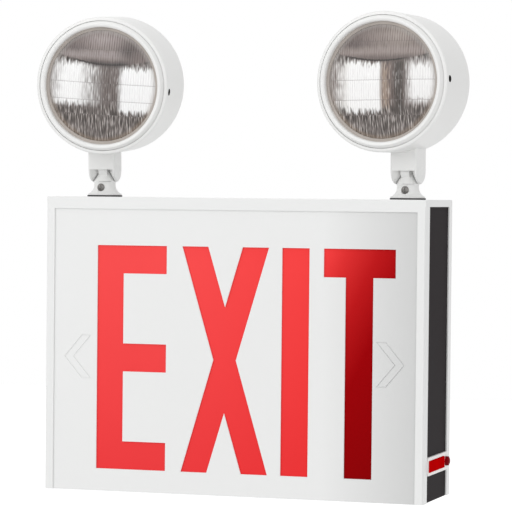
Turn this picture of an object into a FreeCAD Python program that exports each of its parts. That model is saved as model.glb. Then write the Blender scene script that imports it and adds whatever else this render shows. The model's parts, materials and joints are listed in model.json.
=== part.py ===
"""Emergency exit light: a steel letter-stencil sign with two adjustable lamp heads on top.

Millimetres. X runs along the sign, Y runs into the wall, Z is up. The origin is on the wall
plane, at the middle of the back pan. Each sub-part is written to parts/ as its own STEP file.
"""
import FreeCAD, Part
import math
import os

Vec = FreeCAD.Vector

# Cabinet
WIDTH = 356.0
HEIGHT = 267.5
DEPTH = 97.5
SHEET = 1.2
FIT_GAP = 0.15
PAN_FLANGE = 10.4
FRAME_WEB = 14.5
FRAME_SIDE = 7.5
FRAME_TOP = 11.0
TOP_LIP = 6.2
PANEL_FLANGE = 9.0
SHEET_BEND = 0.8
FACE_SCREW_OFFSET = 128.0
FACE_SCREW_R = 1.5
FACE_SCREW_HEAD_R = 2.7
FACE_SCREW_LENGTH = 9.0

# Wall and wiring holes in the back pan
WIRE_ENTRY_R = 11.1
OUTLET_BOX_SPACING = 88.9
OUTLET_BOX_HOLE_R = 2.4
WALL_SCREW_SPACING_X = 254.0
WALL_SCREW_SPACING_Z = 177.8
WALL_SCREW_HOLE_R = 3.0

# Stencil face and the red panel behind it
LENS_THICKNESS = 2.5
LETTER_HEIGHT = 203.2
STROKE = 25.4
WORD_LEFT = -128.8
WORD_CENTRE_ABOVE_BOTTOM = 122.0
E_WIDTH = 66.6
X_WIDTH = 81.8
T_WIDTH = 65.8
E_X_GAP = 14.7
X_I_GAP = 12.3
I_T_GAP = 13.2
X_LIMB = 24.7
X_NOTCH = 47.8
X_WAIST = 10.7
CHEVRON_OFFSET = 147.0
CHEVRON_HEIGHT = 40.0
CHEVRON_BAND = 9.5
CHEVRON_REACH = 17.0
CHEVRON_LINE = 0.9
CHEVRON_SINK = 0.6

# Test switch and pilot light on the right end panel
SWITCH_ABOVE_BOTTOM = 32.0
BEZEL_THICKNESS = 2.2
BEZEL_HEIGHT = 16.5
BEZEL_CORNER = 3.0
PILOT_TO_BUTTON = 4.1
PILOT_HEIGHT = 10.4
PILOT_RISE = 1.1
BUTTON_R = 4.2
BUTTON_RISE = 3.8
BUTTON_TRAVEL = 2.0
BUTTON_GAP = 0.3
BEZEL_MARGIN = 3.0

# Lamp heads
HEAD_OFFSET = 145.5
HEAD_DEPTH = 62.0
HEAD_AIM = {"left": (3.5, -4.0), "right": (-7.0, 0.0)}
HEAD_LEAN = {"left": 8.0, "right": -7.0}
RING_TURN = {"left": 2.5, "right": -5.0}
PIVOT_HEIGHT = 26.0
LAMP_ABOVE_PIVOT = 79.0
SHELL_R = 62.6
SHELL_WALL = 3.0
SHELL_FRONT = 43.0
SHELL_BACK = 26.0
SHELL_BACK_ROUND = 16.0
SHELL_LIP_R = 59.4
SHELL_LIP_ROUND = 2.4
LAMP_SEAT = 33.0
RING_COVER = 3.7
RING_BULGE = 3.6
RING_LIP = 1.6
LAMP_R = 57.1
LAMP_RIM = 3.6
LENS_FLANGE = 6.5
LENS_DOME = 7.0
GLASS = 2.6
RING_SCREW_R = 2.0
RING_SCREW_HOLE_R = 3.0
RING_SCREW_SETBACK = 6.4
RING_SCREW_SINK = 2.3
REFLECTOR_DEPTH = 39.0
REFLECTOR_THROAT_R = 12.0
REFLECTOR_BEND_R = 36.0
REFLECTOR_BEND = 21.0

# Swivel under each lamp head
GASKET_THICKNESS = 1.4
GASKET_R = 16.2
CUP_FOOT_R = 15.6
CUP_FOOT = 1.2
CUP_NECK_R = 10.4
CUP_TOP = 13.8
NIPPLE_R = 6.4
NIPPLE_LENGTH = 15.0
LEAD_BORE_R = 3.4
SPIGOT_R = 5.6
SPIGOT_LENGTH = 8.6
SWIVEL_GAP = 0.3
PIN_GAP = 0.06
TONGUE_THICKNESS = 8.0
TONGUE_R = 8.5
STEM_DEPTH = 11.0
CONE_TIP_BELOW_PIVOT = 2.0
YOKE_WIDTH = 25.5
YOKE_DEPTH = 24.5
YOKE_EDGE = 2.0
YOKE_SCREW_R = 1.5
YOKE_SCREW_HEAD_R = 2.7
YOKE_SCREW_LENGTH = 9.0
PIN_R = 2.5
PIN_HEAD_R = 4.2
PIN_HEAD = 0.9
CLAMP_SCREW_R = 2.0
CLAMP_SCREW_HEAD_R = 3.4
CLAMP_SCREW_HEIGHT = 8.7

# Light chamber, battery and charger inside the cabinet
BAFFLE_TO_BATTERY = 4.8
BATTERY_CLEARANCE = 0.3
BATTERY_FROM_LEFT = 104.0
CHARGER_FROM_RIGHT = 82.0
CHARGER_ABOVE_BOTTOM = 92.0
LED_STRIP_LENGTH = 320.0
LED_STRIP_WIDTH = 12.0
BOARD_THICKNESS = 1.6
LED_COUNT = 12
LED_SIZE = 3.2
BATTERY_LENGTH = 151.0
BATTERY_THICKNESS = 50.0
BATTERY_HEIGHT = 94.0
BATTERY_TERMINAL = 6.0
BATTERY_EDGE = 2.0
BATTERY_LINE = 0.8
STRAP_WIDTH = 16.0
STRAP_FOOT = 14.0
BATTERY_LID = 9.0
CHARGER_LENGTH = 110.0
CHARGER_HEIGHT = 84.0
STANDOFF_R = 3.0
STANDOFF = 10.0
TRANSFORMER_WIDTH = 48.0
TRANSFORMER_HEIGHT = 40.0
TRANSFORMER_DEPTH = 30.0
TRANSFORMER_SETBACK = 22.0
TRANSFORMER_RISE = 14.0
BOARD_MARGIN = 6.0
STANDOFF_PIN_R = 1.5
RELAY_LENGTH = 28.0
RELAY_HEIGHT = 14.0
RELAY_DEPTH = 16.0
RELAY_OFFSET = 16.0
RELAY_RISE = 12.0
SINK_LENGTH = 36.0
SINK_DEPTH = 22.0
SINK_THICKNESS = 6.0
SINK_OFFSET = 10.0
SINK_FINS = 6
FUSE_R = 3.0
FUSE_LENGTH = 22.0
FUSE_DROP = 32.0
CAN_R = 6.0
CAN_LENGTH = 20.0
CAN_PITCH = 15.0
CAN_DROP = 20.0
TERMINAL_LENGTH = 48.0
TERMINAL_HEIGHT = 16.0
TERMINAL_DEPTH = 16.0
TERMINAL_RISE = 22.0
TERMINAL_WELLS = 4
TERMINAL_WELL_R = 2.6

# Places worked out from the sizes above
FRONT = -DEPTH
TOP = HEIGHT / 2
BOTTOM = -HEIGHT / 2
SIDE = WIDTH / 2
PANEL_X = SIDE - SHEET - FIT_GAP
PANEL_FRONT = FRONT + SHEET + SHEET + LENS_THICKNESS + 3 * FIT_GAP
PANEL_BACK = -SHEET - FIT_GAP
PAN_FRONT = -PAN_FLANGE
WEB_BACK = FRONT + FRAME_WEB
SWITCH_Z = BOTTOM + SWITCH_ABOVE_BOTTOM
BEZEL_FRONT = WEB_BACK + FIT_GAP
BEZEL_BACK = PAN_FRONT - FIT_GAP
BEZEL_FACE_X = PANEL_X + BEZEL_THICKNESS
PILOT_FRONT = BEZEL_FRONT + BEZEL_MARGIN
BUTTON_Y = BEZEL_BACK - BEZEL_MARGIN / 2 - BUTTON_R - BUTTON_GAP
PILOT_BACK = BUTTON_Y - BUTTON_R - PILOT_TO_BUTTON
HEAD_Y = FRONT + HEAD_DEPTH
LAMP_AXIS_Z = PIVOT_HEIGHT + LAMP_ABOVE_PIVOT
RIM_FRONT = LAMP_SEAT + 2 * LAMP_RIM
SWIVEL_SEAT = CUP_TOP + SWIVEL_GAP
RING_R = SHELL_LIP_R - SWIVEL_GAP
LENS_DOME_R = LAMP_R - LENS_FLANGE
RING_OPENING_R = LAMP_R - RING_COVER
FLOOR_Z = BOTTOM + 2 * SHEET + FIT_GAP
BATTERY_X = -SIDE + BATTERY_FROM_LEFT
BATTERY_Y = PANEL_BACK - SHEET - 2 * BATTERY_CLEARANCE - BATTERY_THICKNESS / 2
BATTERY_Z = FLOOR_Z + BATTERY_HEIGHT / 2
STRAP_FRONT = BATTERY_Y - BATTERY_THICKNESS / 2 - BATTERY_CLEARANCE - SHEET
BAFFLE_Y = STRAP_FRONT - BAFFLE_TO_BATTERY
CHARGER_X = SIDE - CHARGER_FROM_RIGHT
CHARGER_Y = -SHEET - STANDOFF
CHARGER_Z = BOTTOM + CHARGER_ABOVE_BOTTOM
BOARD_FACE = CHARGER_Y - BOARD_THICKNESS


def box(x0, x1, y0, y1, z0, z1):
    return Part.makeBox(x1 - x0, y1 - y0, z1 - z0, Vec(x0, y0, z0))


def rod(radius, start, end):
    """A cylinder between two points."""
    run = Vec(*end) - Vec(*start)
    return Part.makeCylinder(radius, run.Length, Vec(*start), run)


def outline(points):
    """A closed wire. An entry of two points is an arc: through the first, to the second."""
    edges = []
    here = Vec(*points[0])
    for entry in points[1:] + [points[0]]:
        if isinstance(entry[0], tuple):
            there = Vec(*entry[1])
            edges.append(Part.Arc(here, Vec(*entry[0]), there).toShape())
        else:
            there = Vec(*entry)
            if (there - here).Length < 1e-7:
                continue
            edges.append(Part.makeLine(here, there))
        here = there
    return Part.Wire(edges)


def placed(points, at):
    """Put an outline's points in space, arcs included."""
    return [tuple(at(*spot) for spot in entry) if isinstance(entry[0], tuple) else at(*entry) for entry in points]


def prism_y(points, y0, y1):
    """Extrude an outline of (x, z) points along Y."""
    wire = outline(placed(points, lambda x, z: (x, y0, z)))
    return Part.Face(wire).extrude(Vec(0, y1 - y0, 0))


def prism_x(points, x0, x1):
    """Extrude an outline of (y, z) points along X."""
    wire = outline(placed(points, lambda y, z: (x0, y, z)))
    return Part.Face(wire).extrude(Vec(x1 - x0, 0, 0))


def turned(points, place, axis, out):
    """Revolve (radius, height) points about an axis through place. out is the radius direction."""
    place = Vec(*place)
    axis = Vec(*axis)
    out = Vec(*out)

    def at(radius, height):
        spot = place + out * radius + axis * height
        return (spot.x, spot.y, spot.z)

    return Part.Face(outline(placed(points, at))).revolve(place, axis, 360)


def dome_rise(radius, edge_r, crown):
    """Height at a radius of a shallow dome above its edge."""
    ball = (edge_r ** 2 + crown ** 2) / (2 * crown)
    return math.sqrt(ball ** 2 - radius ** 2) - (ball - crown)


def dome(edge_r, base, crown, way=1):
    """Arc from an edge to a crown on the axis, for a turned outline."""
    middle = edge_r / 2
    return ((middle, base + way * dome_rise(middle, edge_r, crown)), (0, base + way * crown))


def dome_edge(edge_r, base, crown, way=1):
    """The same arc, drawn from the crown to the edge."""
    return (dome(edge_r, base, crown, way)[0], (edge_r, base))


def joined(*pieces):
    whole = pieces[0].fuse(list(pieces[1:]))
    return whole.removeSplitter()


def on_arc(centre, radius, degrees):
    turn = math.radians(degrees)
    return (centre[0] + radius * math.cos(turn), centre[1] + radius * math.sin(turn))


def save(name, shape):
    shape.exportStep("parts/" + name + ".step")


# ---------------------------------------------------------------- cabinet

def back_pan():
    outside = box(-SIDE, SIDE, PAN_FRONT, 0, BOTTOM, TOP)
    inside = box(-SIDE + SHEET, SIDE - SHEET, PAN_FRONT, -SHEET, BOTTOM + SHEET, TOP - SHEET)
    pan = outside.cut(inside)
    holes = [rod(WIRE_ENTRY_R, (0, -SHEET, 0), (0, 0, 0))]
    for side in (-1, 1):
        x = side * OUTLET_BOX_SPACING / 2
        holes.append(rod(OUTLET_BOX_HOLE_R, (x, -SHEET, 0), (x, 0, 0)))
        for level in (-1, 1):
            x = side * WALL_SCREW_SPACING_X / 2
            z = level * WALL_SCREW_SPACING_Z / 2
            holes.append(rod(WALL_SCREW_HOLE_R, (x, -SHEET, z), (x, 0, z)))
    return pan.cut(holes)


def top_cover():
    """Flush with the frame and the pan, joggled under both, with a lip down each side."""
    low = TOP - 2 * SHEET - FIT_GAP
    front = WEB_BACK + FIT_GAP
    back = PAN_FRONT - FIT_GAP
    inner = PANEL_X - SHEET - FIT_GAP
    plate = box(-SIDE, SIDE, front, back, TOP - SHEET, TOP)
    pieces = [
        box(-SIDE, -SIDE + SHEET, front, back, TOP - TOP_LIP, TOP),
        box(SIDE - SHEET, SIDE, front, back, TOP - TOP_LIP, TOP),
        box(-inner, inner, PANEL_FRONT, front + SHEET, low, low + SHEET),
        box(-inner, inner, front, front + SHEET, low, TOP),
        box(-inner, inner, back - SHEET, PANEL_BACK, low, low + SHEET),
        box(-inner, inner, back - SHEET, back, low, TOP),
        box(-inner, inner, PANEL_FRONT, PANEL_FRONT + SHEET, TOP - FRAME_TOP - SHEET, low + SHEET),
    ]
    cover = joined(plate, *pieces)
    for side in (-1, 1):
        x = side * HEAD_OFFSET
        cover = cover.cut(rod(NIPPLE_R + FIT_GAP, (x, HEAD_Y, low), (x, HEAD_Y, TOP)))
    return cover


def end_panel(side):
    """Dark channel set behind the lips: a web with flanges turned in at front and back."""
    roof = TOP - 2 * SHEET - 2 * FIT_GAP
    web = box(PANEL_X - SHEET, PANEL_X, PANEL_FRONT, PANEL_BACK, BOTTOM, roof)
    front = box(PANEL_X - PANEL_FLANGE, PANEL_X, PANEL_FRONT, PANEL_FRONT + SHEET, BOTTOM + FRAME_TOP,
                TOP - FRAME_TOP - SHEET - FIT_GAP)
    back = box(PANEL_X - PANEL_FLANGE, PANEL_X, PANEL_BACK - SHEET, PANEL_BACK, BOTTOM + FRAME_TOP,
               roof - FRAME_TOP)
    notch = box(0, SIDE, PAN_FRONT - FIT_GAP, 0, BOTTOM, BOTTOM + SHEET + FIT_GAP)
    panel = joined(web, front, back).cut(notch)
    if side < 0:
        return panel.mirror(Vec(0, 0, 0), Vec(1, 0, 0))
    slot = pilot_bar(PANEL_X - SHEET, PANEL_X, FIT_GAP)
    hole = rod(BUTTON_R + 2 * BUTTON_GAP, (PANEL_X - SHEET, BUTTON_Y, SWITCH_Z), (PANEL_X, BUTTON_Y, SWITCH_Z))
    return panel.cut([slot, hole])


def bottom_panel():
    """Dark floor of the cabinet, lapped inside the pan's flange and over the stencil's return."""
    low = BOTTOM + SHEET + FIT_GAP
    inner = PANEL_X - SHEET - FIT_GAP
    floor = box(-inner, inner, PANEL_FRONT, PANEL_BACK, low, low + SHEET)
    rise = box(-inner, inner, PANEL_BACK - SHEET, PANEL_BACK, low, low + PANEL_FLANGE)
    inset = inner - PANEL_FLANGE
    lip = box(-inset, inset, PANEL_FRONT, PANEL_FRONT + SHEET, low, low + PANEL_FLANGE)
    floor = joined(floor, rise, lip)
    holes = [rod(FACE_SCREW_R + PIN_GAP, (x, y, low), (x, y, low + SHEET)) for x, y in face_screw_places()]
    return floor.cut(holes)


def frame_strip_section(width):
    """Angle section of a frame strip as (across, depth) points, from the outer corner inwards."""
    return [(0, SHEET_BEND), (SHEET_BEND, 0), (width, 0), (width, SHEET), (SHEET, SHEET), (SHEET, FRAME_WEB),
            (0, FRAME_WEB)]


def frame_side(side):
    points = [(side * (SIDE - across), FRONT + depth, BOTTOM) for across, depth in frame_strip_section(FRAME_SIDE)]
    strip = Part.Face(outline(points)).extrude(Vec(0, 0, HEIGHT))
    return strip.cut(mitre(side))


def mitre(side):
    """What a side strip leaves to the top strip: above a line from the inner to the outer corner."""
    inner = (side * (SIDE - FRAME_SIDE), TOP - FRAME_TOP)
    outer = (side * SIDE, TOP - TOP_LIP)
    beyond = (side * (SIDE + 1), TOP - TOP_LIP)
    above = TOP + 1
    points = [inner, outer, beyond, (side * (SIDE + 1), above), (inner[0], above)]
    return prism_y(points, FRONT - 1, WEB_BACK + 1)


def frame_top():
    """Top strip with its ends folded down level with the top cover's lips."""
    points = [(-SIDE, FRONT + depth, TOP - across) for across, depth in frame_strip_section(FRAME_TOP)]
    strip = Part.Face(outline(points)).extrude(Vec(WIDTH, 0, 0))
    lips = []
    for side in (-1, 1):
        x = side * SIDE
        lip = box(min(x, x - side * SHEET), max(x, x - side * SHEET), FRONT + SHEET_BEND, WEB_BACK, TOP - TOP_LIP, TOP)
        lips.append(lip)
    strip = joined(strip, *lips)
    for side in (-1, 1):
        inner = (side * (SIDE - FRAME_SIDE), TOP - FRAME_TOP)
        outer = (side * SIDE, TOP - TOP_LIP)
        corner = prism_y([inner, outer, (outer[0], inner[1])], FRONT - 1, WEB_BACK + 1)
        strip = strip.cut(corner)
    return strip


def letter_e(left, low):
    """The letters are outlines of (x, z) points."""
    mid = low + LETTER_HEIGHT / 2
    top = low + LETTER_HEIGHT
    stem = left + STROKE
    right = left + E_WIDTH
    return [(left, low), (right, low), (right, low + STROKE), (stem, low + STROKE), (stem, mid - STROKE / 2),
            (right, mid - STROKE / 2), (right, mid + STROKE / 2), (stem, mid + STROKE / 2), (stem, top - STROKE),
            (right, top - STROKE), (right, top), (left, top)]


def letter_x(left, low):
    middle = left + X_WIDTH / 2
    mid = low + LETTER_HEIGHT / 2
    top = low + LETTER_HEIGHT
    right = left + X_WIDTH
    return [(left, low), (left + X_LIMB, low), (middle, mid - X_NOTCH), (right - X_LIMB, low), (right, low),
            (middle + X_WAIST, mid), (right, top), (right - X_LIMB, top), (middle, mid + X_NOTCH),
            (left + X_LIMB, top), (left, top), (middle - X_WAIST, mid)]


def letter_i(left, low):
    return [(left, low), (left + STROKE, low), (left + STROKE, low + LETTER_HEIGHT), (left, low + LETTER_HEIGHT)]


def letter_t(left, low):
    middle = left + T_WIDTH / 2
    top = low + LETTER_HEIGHT
    right = left + T_WIDTH
    bar = top - STROKE
    return [(middle - STROKE / 2, low), (middle + STROKE / 2, low), (middle + STROKE / 2, bar), (right, bar),
            (right, top), (left, top), (left, bar), (middle - STROKE / 2, bar)]


def chevron(side, y0, y1, inset):
    """A solid arrow head that points away from the word, drawn in by inset on every edge."""
    mid = BOTTOM + WORD_CENTRE_ABOVE_BOTTOM
    half = CHEVRON_HEIGHT / 2
    slope = half / CHEVRON_REACH
    along = inset * math.hypot(1, slope) / slope
    back = -(CHEVRON_REACH + CHEVRON_BAND) / 2
    top = half - inset
    lean = (half - top) / slope
    points = [(back + along + lean, top), (back + CHEVRON_BAND - along + lean, top),
              (back + CHEVRON_BAND + CHEVRON_REACH - along, 0), (back + CHEVRON_BAND - along + lean, -top),
              (back + along + lean, -top), (back + CHEVRON_REACH + along, 0)]
    return prism_y([(side * (CHEVRON_OFFSET + x), mid + z) for x, z in points], y0, y1)


def face_screw_places():
    y = PANEL_FRONT + 2.5 * SHEET + 2
    return [(side * FACE_SCREW_OFFSET, y) for side in (-1, 1)]


def face_screw_cone(x, y):
    """The countersunk head of a face screw, and its seat in the stencil's return."""
    return Part.makeCone(FACE_SCREW_HEAD_R, FACE_SCREW_R, SHEET, Vec(x, y, BOTTOM))


def stencil_face():
    """Slides up behind the frame strips. Its lower edge is returned under the cabinet."""
    front = FRONT + SHEET + FIT_GAP
    half = SIDE - SHEET - FIT_GAP
    sheet = box(-half, half, front, front + SHEET, BOTTOM, TOP - SHEET - FIT_GAP)
    inner = PANEL_X - SHEET - FIT_GAP
    back = WEB_BACK - FIT_GAP
    sheet = joined(sheet, box(-inner, inner, front, back, BOTTOM, BOTTOM + SHEET))
    low = BOTTOM + WORD_CENTRE_ABOVE_BOTTOM - LETTER_HEIGHT / 2
    x_left = WORD_LEFT + E_WIDTH + E_X_GAP
    i_left = x_left + X_WIDTH + X_I_GAP
    t_left = i_left + STROKE + I_T_GAP
    cuts = []
    for letter, left in ((letter_e, WORD_LEFT), (letter_x, x_left), (letter_i, i_left), (letter_t, t_left)):
        cuts.append(prism_y(letter(left, low), front, front + SHEET))
    for side in (-1, 1):
        outer = chevron(side, front, front + CHEVRON_SINK, 0)
        cuts.append(outer.cut(chevron(side, front, front + CHEVRON_SINK, CHEVRON_LINE)))
    cuts.extend(face_screw_cone(x, y) for x, y in face_screw_places())
    return sheet.cut(cuts)


def lens_panel():
    front = FRONT + 2 * SHEET + 2 * FIT_GAP
    half = SIDE - SHEET - 2 * FIT_GAP - SHEET
    return box(-half, half, front, front + LENS_THICKNESS, BOTTOM + SHEET, TOP - 2 * SHEET - 2 * FIT_GAP)


def face_screws():
    """Two countersunk screws that hold the stencil's return to the cabinet floor."""
    screws = []
    for x, y in face_screw_places():
        shank = rod(FACE_SCREW_R, (x, y, BOTTOM), (x, y, BOTTOM + FACE_SCREW_LENGTH))
        screws.append(joined(shank, face_screw_cone(x, y)))
    return Part.makeCompound(screws)


# ---------------------------------------------------------------- test switch

def rounded_plate(x0, x1, y0, y1, z0, z1, corner):
    plate = box(x0, x1, y0, y1, z0, z1)
    edges = [e for e in plate.Edges if abs(e.tangentAt(e.FirstParameter).x) > 0.9]
    return plate.makeFillet(corner, edges)


def pilot_bar(x0, x1, margin):
    return rounded_plate(x0, x1, PILOT_FRONT - margin, PILOT_BACK + margin, SWITCH_Z - PILOT_HEIGHT / 2 - margin,
                         SWITCH_Z + PILOT_HEIGHT / 2 + margin, 1.2)


def switch_bezel():
    half = BEZEL_HEIGHT / 2
    plate = rounded_plate(PANEL_X, BEZEL_FACE_X, BEZEL_FRONT, BEZEL_BACK, SWITCH_Z - half, SWITCH_Z + half, BEZEL_CORNER)
    rim = [e for e in plate.Edges if e.CenterOfMass.x > BEZEL_FACE_X - 0.01]
    plate = plate.makeFillet(0.7, rim)
    slot = pilot_bar(PANEL_X, BEZEL_FACE_X, FIT_GAP)
    hole = rod(BUTTON_R + BUTTON_GAP, (PANEL_X, BUTTON_Y, SWITCH_Z), (BEZEL_FACE_X, BUTTON_Y, SWITCH_Z))
    return plate.cut([slot, hole])


def pilot_lens():
    """Red window over the pilot light, with a flange behind the panel that keeps it in."""
    face = BEZEL_FACE_X + PILOT_RISE
    inner = PANEL_X - SHEET
    bar = pilot_bar(inner, face, 0)
    rim = [e for e in bar.Edges if e.CenterOfMass.x > face - 0.01]
    bar = bar.makeFillet(0.8, rim)
    return joined(bar, pilot_bar(inner - 1.5, inner, 1.0))


def test_button():
    """Domed cap with a collar that stops against the panel, and a stem that works the switch."""
    inner = PANEL_X - SHEET
    edge = BEZEL_FACE_X + BUTTON_RISE - 1.4
    tip = BEZEL_FACE_X + BUTTON_RISE
    collar = BUTTON_R + 3 * BUTTON_GAP
    profile = [(0, tip), dome_edge(BUTTON_R, edge, tip - edge), (BUTTON_R, inner), (collar, inner),
               (collar, inner - 1.2), (1.8, inner - 1.2), (1.8, inner - 3.4), (0, inner - 3.4)]
    return turned(profile, (0, BUTTON_Y, SWITCH_Z), (1, 0, 0), (0, 1, 0))


def test_switch():
    """Sealed switch body behind the panel, with the well that the button's stem works in."""
    face = PANEL_X - SHEET - 1.2 - BUTTON_TRAVEL - BUTTON_GAP
    body = box(face - 13, face, BUTTON_Y - 5, BUTTON_Y + 5, SWITCH_Z - 7, SWITCH_Z + 7)
    well = rod(1.8 + BUTTON_GAP, (face - 4, BUTTON_Y, SWITCH_Z), (face, BUTTON_Y, SWITCH_Z))
    legs = [box(face - 2, PANEL_X - SHEET, BUTTON_Y - 4, BUTTON_Y + 4, z - 0.8, z + 0.8)
            for z in (SWITCH_Z - 6.2, SWITCH_Z + 6.2)]
    pins = [box(face - 18, face - 13, BUTTON_Y - 0.4, BUTTON_Y + 0.4, z - 1.5, z + 1.5)
            for z in (SWITCH_Z - 4, SWITCH_Z + 4)]
    return joined(body.cut(well), *legs, *pins)


def pilot_board():
    """Small board with the two pilot lamps, on posts behind the red window."""
    inner = PANEL_X - SHEET
    face = inner - 6.5
    y = (PILOT_FRONT + PILOT_BACK) / 2
    half = PILOT_HEIGHT / 2 + 5
    board = box(face - BOARD_THICKNESS, face, PILOT_FRONT, PILOT_BACK, SWITCH_Z - half, SWITCH_Z + half)
    lamps = [rod(2.5, (face, y + step, SWITCH_Z), (inner - 2, y + step, SWITCH_Z)) for step in (-13, 13)]
    posts = [rod(1.5, (face, y, z), (inner, y, z)) for z in (SWITCH_Z - half + 2, SWITCH_Z + half - 2)]
    return joined(board, *lamps, *posts)


# ---------------------------------------------------------------- light chamber and supply

def light_baffle():
    """White tray that closes the light chamber and throws the light forward."""
    inner = PANEL_X - SHEET - PANEL_FLANGE - 2.5
    low = FLOOR_Z
    high = TOP - 2 * SHEET - 2 * FIT_GAP
    front = PANEL_FRONT + SHEET + FIT_GAP
    tray = box(-inner, inner, front + PANEL_FLANGE, BAFFLE_Y, low, high)
    hollow = box(-inner + SHEET, inner - SHEET, front + PANEL_FLANGE, BAFFLE_Y - SHEET, low + SHEET, high - SHEET)
    return tray.cut(hollow)


def led_strip(level):
    """Circuit strip along the roof or the floor of the light chamber."""
    y = (PANEL_FRONT + SHEET + PANEL_FLANGE + BAFFLE_Y) / 2
    z = led_face(level)
    half = LED_STRIP_LENGTH / 2
    low = min(z, z + level * BOARD_THICKNESS)
    return box(-half, half, y - LED_STRIP_WIDTH / 2, y + LED_STRIP_WIDTH / 2, low, low + BOARD_THICKNESS)


def led_face(level):
    if level > 0:
        return TOP - 3 * SHEET - 2 * FIT_GAP - BOARD_THICKNESS
    return FLOOR_Z + SHEET + BOARD_THICKNESS


def led_chips():
    y = (PANEL_FRONT + SHEET + PANEL_FLANGE + BAFFLE_Y) / 2
    step = LED_STRIP_LENGTH / LED_COUNT
    half = LED_SIZE / 2
    chips = []
    for level in (-1, 1):
        z = led_face(level)
        low = min(z, z - level)
        for number in range(LED_COUNT):
            x = (number - (LED_COUNT - 1) / 2) * step
            chips.append(box(x - half, x + half, y - half, y + half, low, low + 1))
    return Part.makeCompound(chips)


def battery():
    """Sealed battery with the line of its lid and two blade terminals."""
    x = BATTERY_X
    half_x = BATTERY_LENGTH / 2
    front = BATTERY_Y - BATTERY_THICKNESS / 2
    back = BATTERY_Y + BATTERY_THICKNESS / 2
    top = BATTERY_Z + BATTERY_HEIGHT / 2
    case = box(x - half_x, x + half_x, front, back, BATTERY_Z - BATTERY_HEIGHT / 2, top)
    case = case.makeFillet(BATTERY_EDGE, [e for e in case.Edges if abs(e.tangentAt(e.FirstParameter).z) > 0.9])
    line = BATTERY_LINE
    low = top - BATTERY_LID
    groove = box(x - half_x, x + half_x, front, back, low, low + line)
    core = box(x - half_x + line, x + half_x - line, front + line, back - line, low, low + line)
    case = case.cut(groove.cut(core))
    half = BATTERY_TERMINAL / 2
    tabs = []
    for s in (-1, 1):
        tab_x = x + s * (half_x - 2 * BATTERY_TERMINAL)
        tabs.append(box(tab_x - half, tab_x + half, BATTERY_Y - 0.4, BATTERY_Y + 0.4, top, top + BATTERY_TERMINAL))
    return joined(case, *tabs)


def battery_strap():
    """Steel band over the battery, with feet on the back pan."""
    x = BATTERY_X
    half = BATTERY_LENGTH / 2 + BATTERY_CLEARANCE
    low = BATTERY_Z - STRAP_WIDTH / 2
    high = BATTERY_Z + STRAP_WIDTH / 2
    band = [box(x - half - SHEET, x + half + SHEET, STRAP_FRONT, STRAP_FRONT + SHEET, low, high)]
    for s in (-1, 1):
        wall = x + s * half
        foot = x + s * (half + STRAP_FOOT)
        band.append(box(min(wall, wall + s * SHEET), max(wall, wall + s * SHEET), STRAP_FRONT, -SHEET, low, high))
        band.append(box(min(wall, foot), max(wall, foot), -2 * SHEET, -SHEET, low, high))
    return joined(*band)


def charger_corners():
    return [(CHARGER_X + sx * (CHARGER_LENGTH / 2 - BOARD_MARGIN), CHARGER_Z + sz * (CHARGER_HEIGHT / 2 - BOARD_MARGIN))
            for sx in (-1, 1) for sz in (-1, 1)]


def charger_board():
    half_x = CHARGER_LENGTH / 2
    half_z = CHARGER_HEIGHT / 2
    board = box(CHARGER_X - half_x, CHARGER_X + half_x, BOARD_FACE, CHARGER_Y, CHARGER_Z - half_z, CHARGER_Z + half_z)
    return board.cut([rod(STANDOFF_PIN_R + 0.2, (x, BOARD_FACE, z), (x, CHARGER_Y, z)) for x, z in charger_corners()])


def board_standoffs():
    """Four posts on the pan, each with a pin through a corner of the board."""
    posts = []
    for x, z in charger_corners():
        post = rod(STANDOFF_R, (x, CHARGER_Y, z), (x, -SHEET, z))
        posts.append(joined(post, rod(STANDOFF_PIN_R, (x, BOARD_FACE - 2, z), (x, CHARGER_Y, z))))
    return Part.makeCompound(posts)


def transformer():
    """Laminated core with its winding between the limbs, standing on the charger board."""
    x = CHARGER_X - TRANSFORMER_SETBACK
    z = CHARGER_Z + TRANSFORMER_RISE
    half_x = TRANSFORMER_WIDTH / 2
    half_z = TRANSFORMER_HEIGHT / 2
    front = BOARD_FACE - TRANSFORMER_DEPTH
    inset = TRANSFORMER_DEPTH * 0.2
    core = box(x - half_x, x + half_x, front + inset, BOARD_FACE - inset, z - half_z, z + half_z)
    winding = rounded_plate(x - half_x * 0.62, x + half_x * 0.62, front, BOARD_FACE, z - half_z * 0.64,
                            z + half_z * 0.64, 3)
    return joined(core, winding)


def board_parts():
    """Relay, finned heat sink, fuse and two capacitors on the charger board, as separate solids."""
    face = BOARD_FACE
    x = CHARGER_X + RELAY_OFFSET
    z = CHARGER_Z + RELAY_RISE
    relay = box(x, x + RELAY_LENGTH, face - RELAY_DEPTH, face, z, z + RELAY_HEIGHT)
    x = CHARGER_X + SINK_OFFSET
    z = CHARGER_Z - SINK_THICKNESS / 2
    sink = box(x, x + SINK_LENGTH, face - SINK_DEPTH, face, z, z + SINK_THICKNESS)
    pitch = SINK_LENGTH / (2 * SINK_FINS - 1)
    for fin in range(SINK_FINS - 1):
        left = x + pitch * (2 * fin + 1)
        sink = sink.cut(box(left, left + pitch, face - SINK_DEPTH, face - SINK_THICKNESS, z, z + SINK_THICKNESS))
    z = CHARGER_Z - FUSE_DROP
    fuse = rod(FUSE_R, (CHARGER_X - FUSE_LENGTH / 2, face - FUSE_R, z), (CHARGER_X + FUSE_LENGTH / 2, face - FUSE_R, z))
    cans = []
    for step in (1, 2):
        x = CHARGER_X - step * CAN_PITCH
        z = CHARGER_Z - CAN_DROP
        cans.append(rod(CAN_R, (x, face - CAN_LENGTH, z), (x, face, z)))
    return Part.makeCompound([relay, sink, fuse] + cans)


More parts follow.
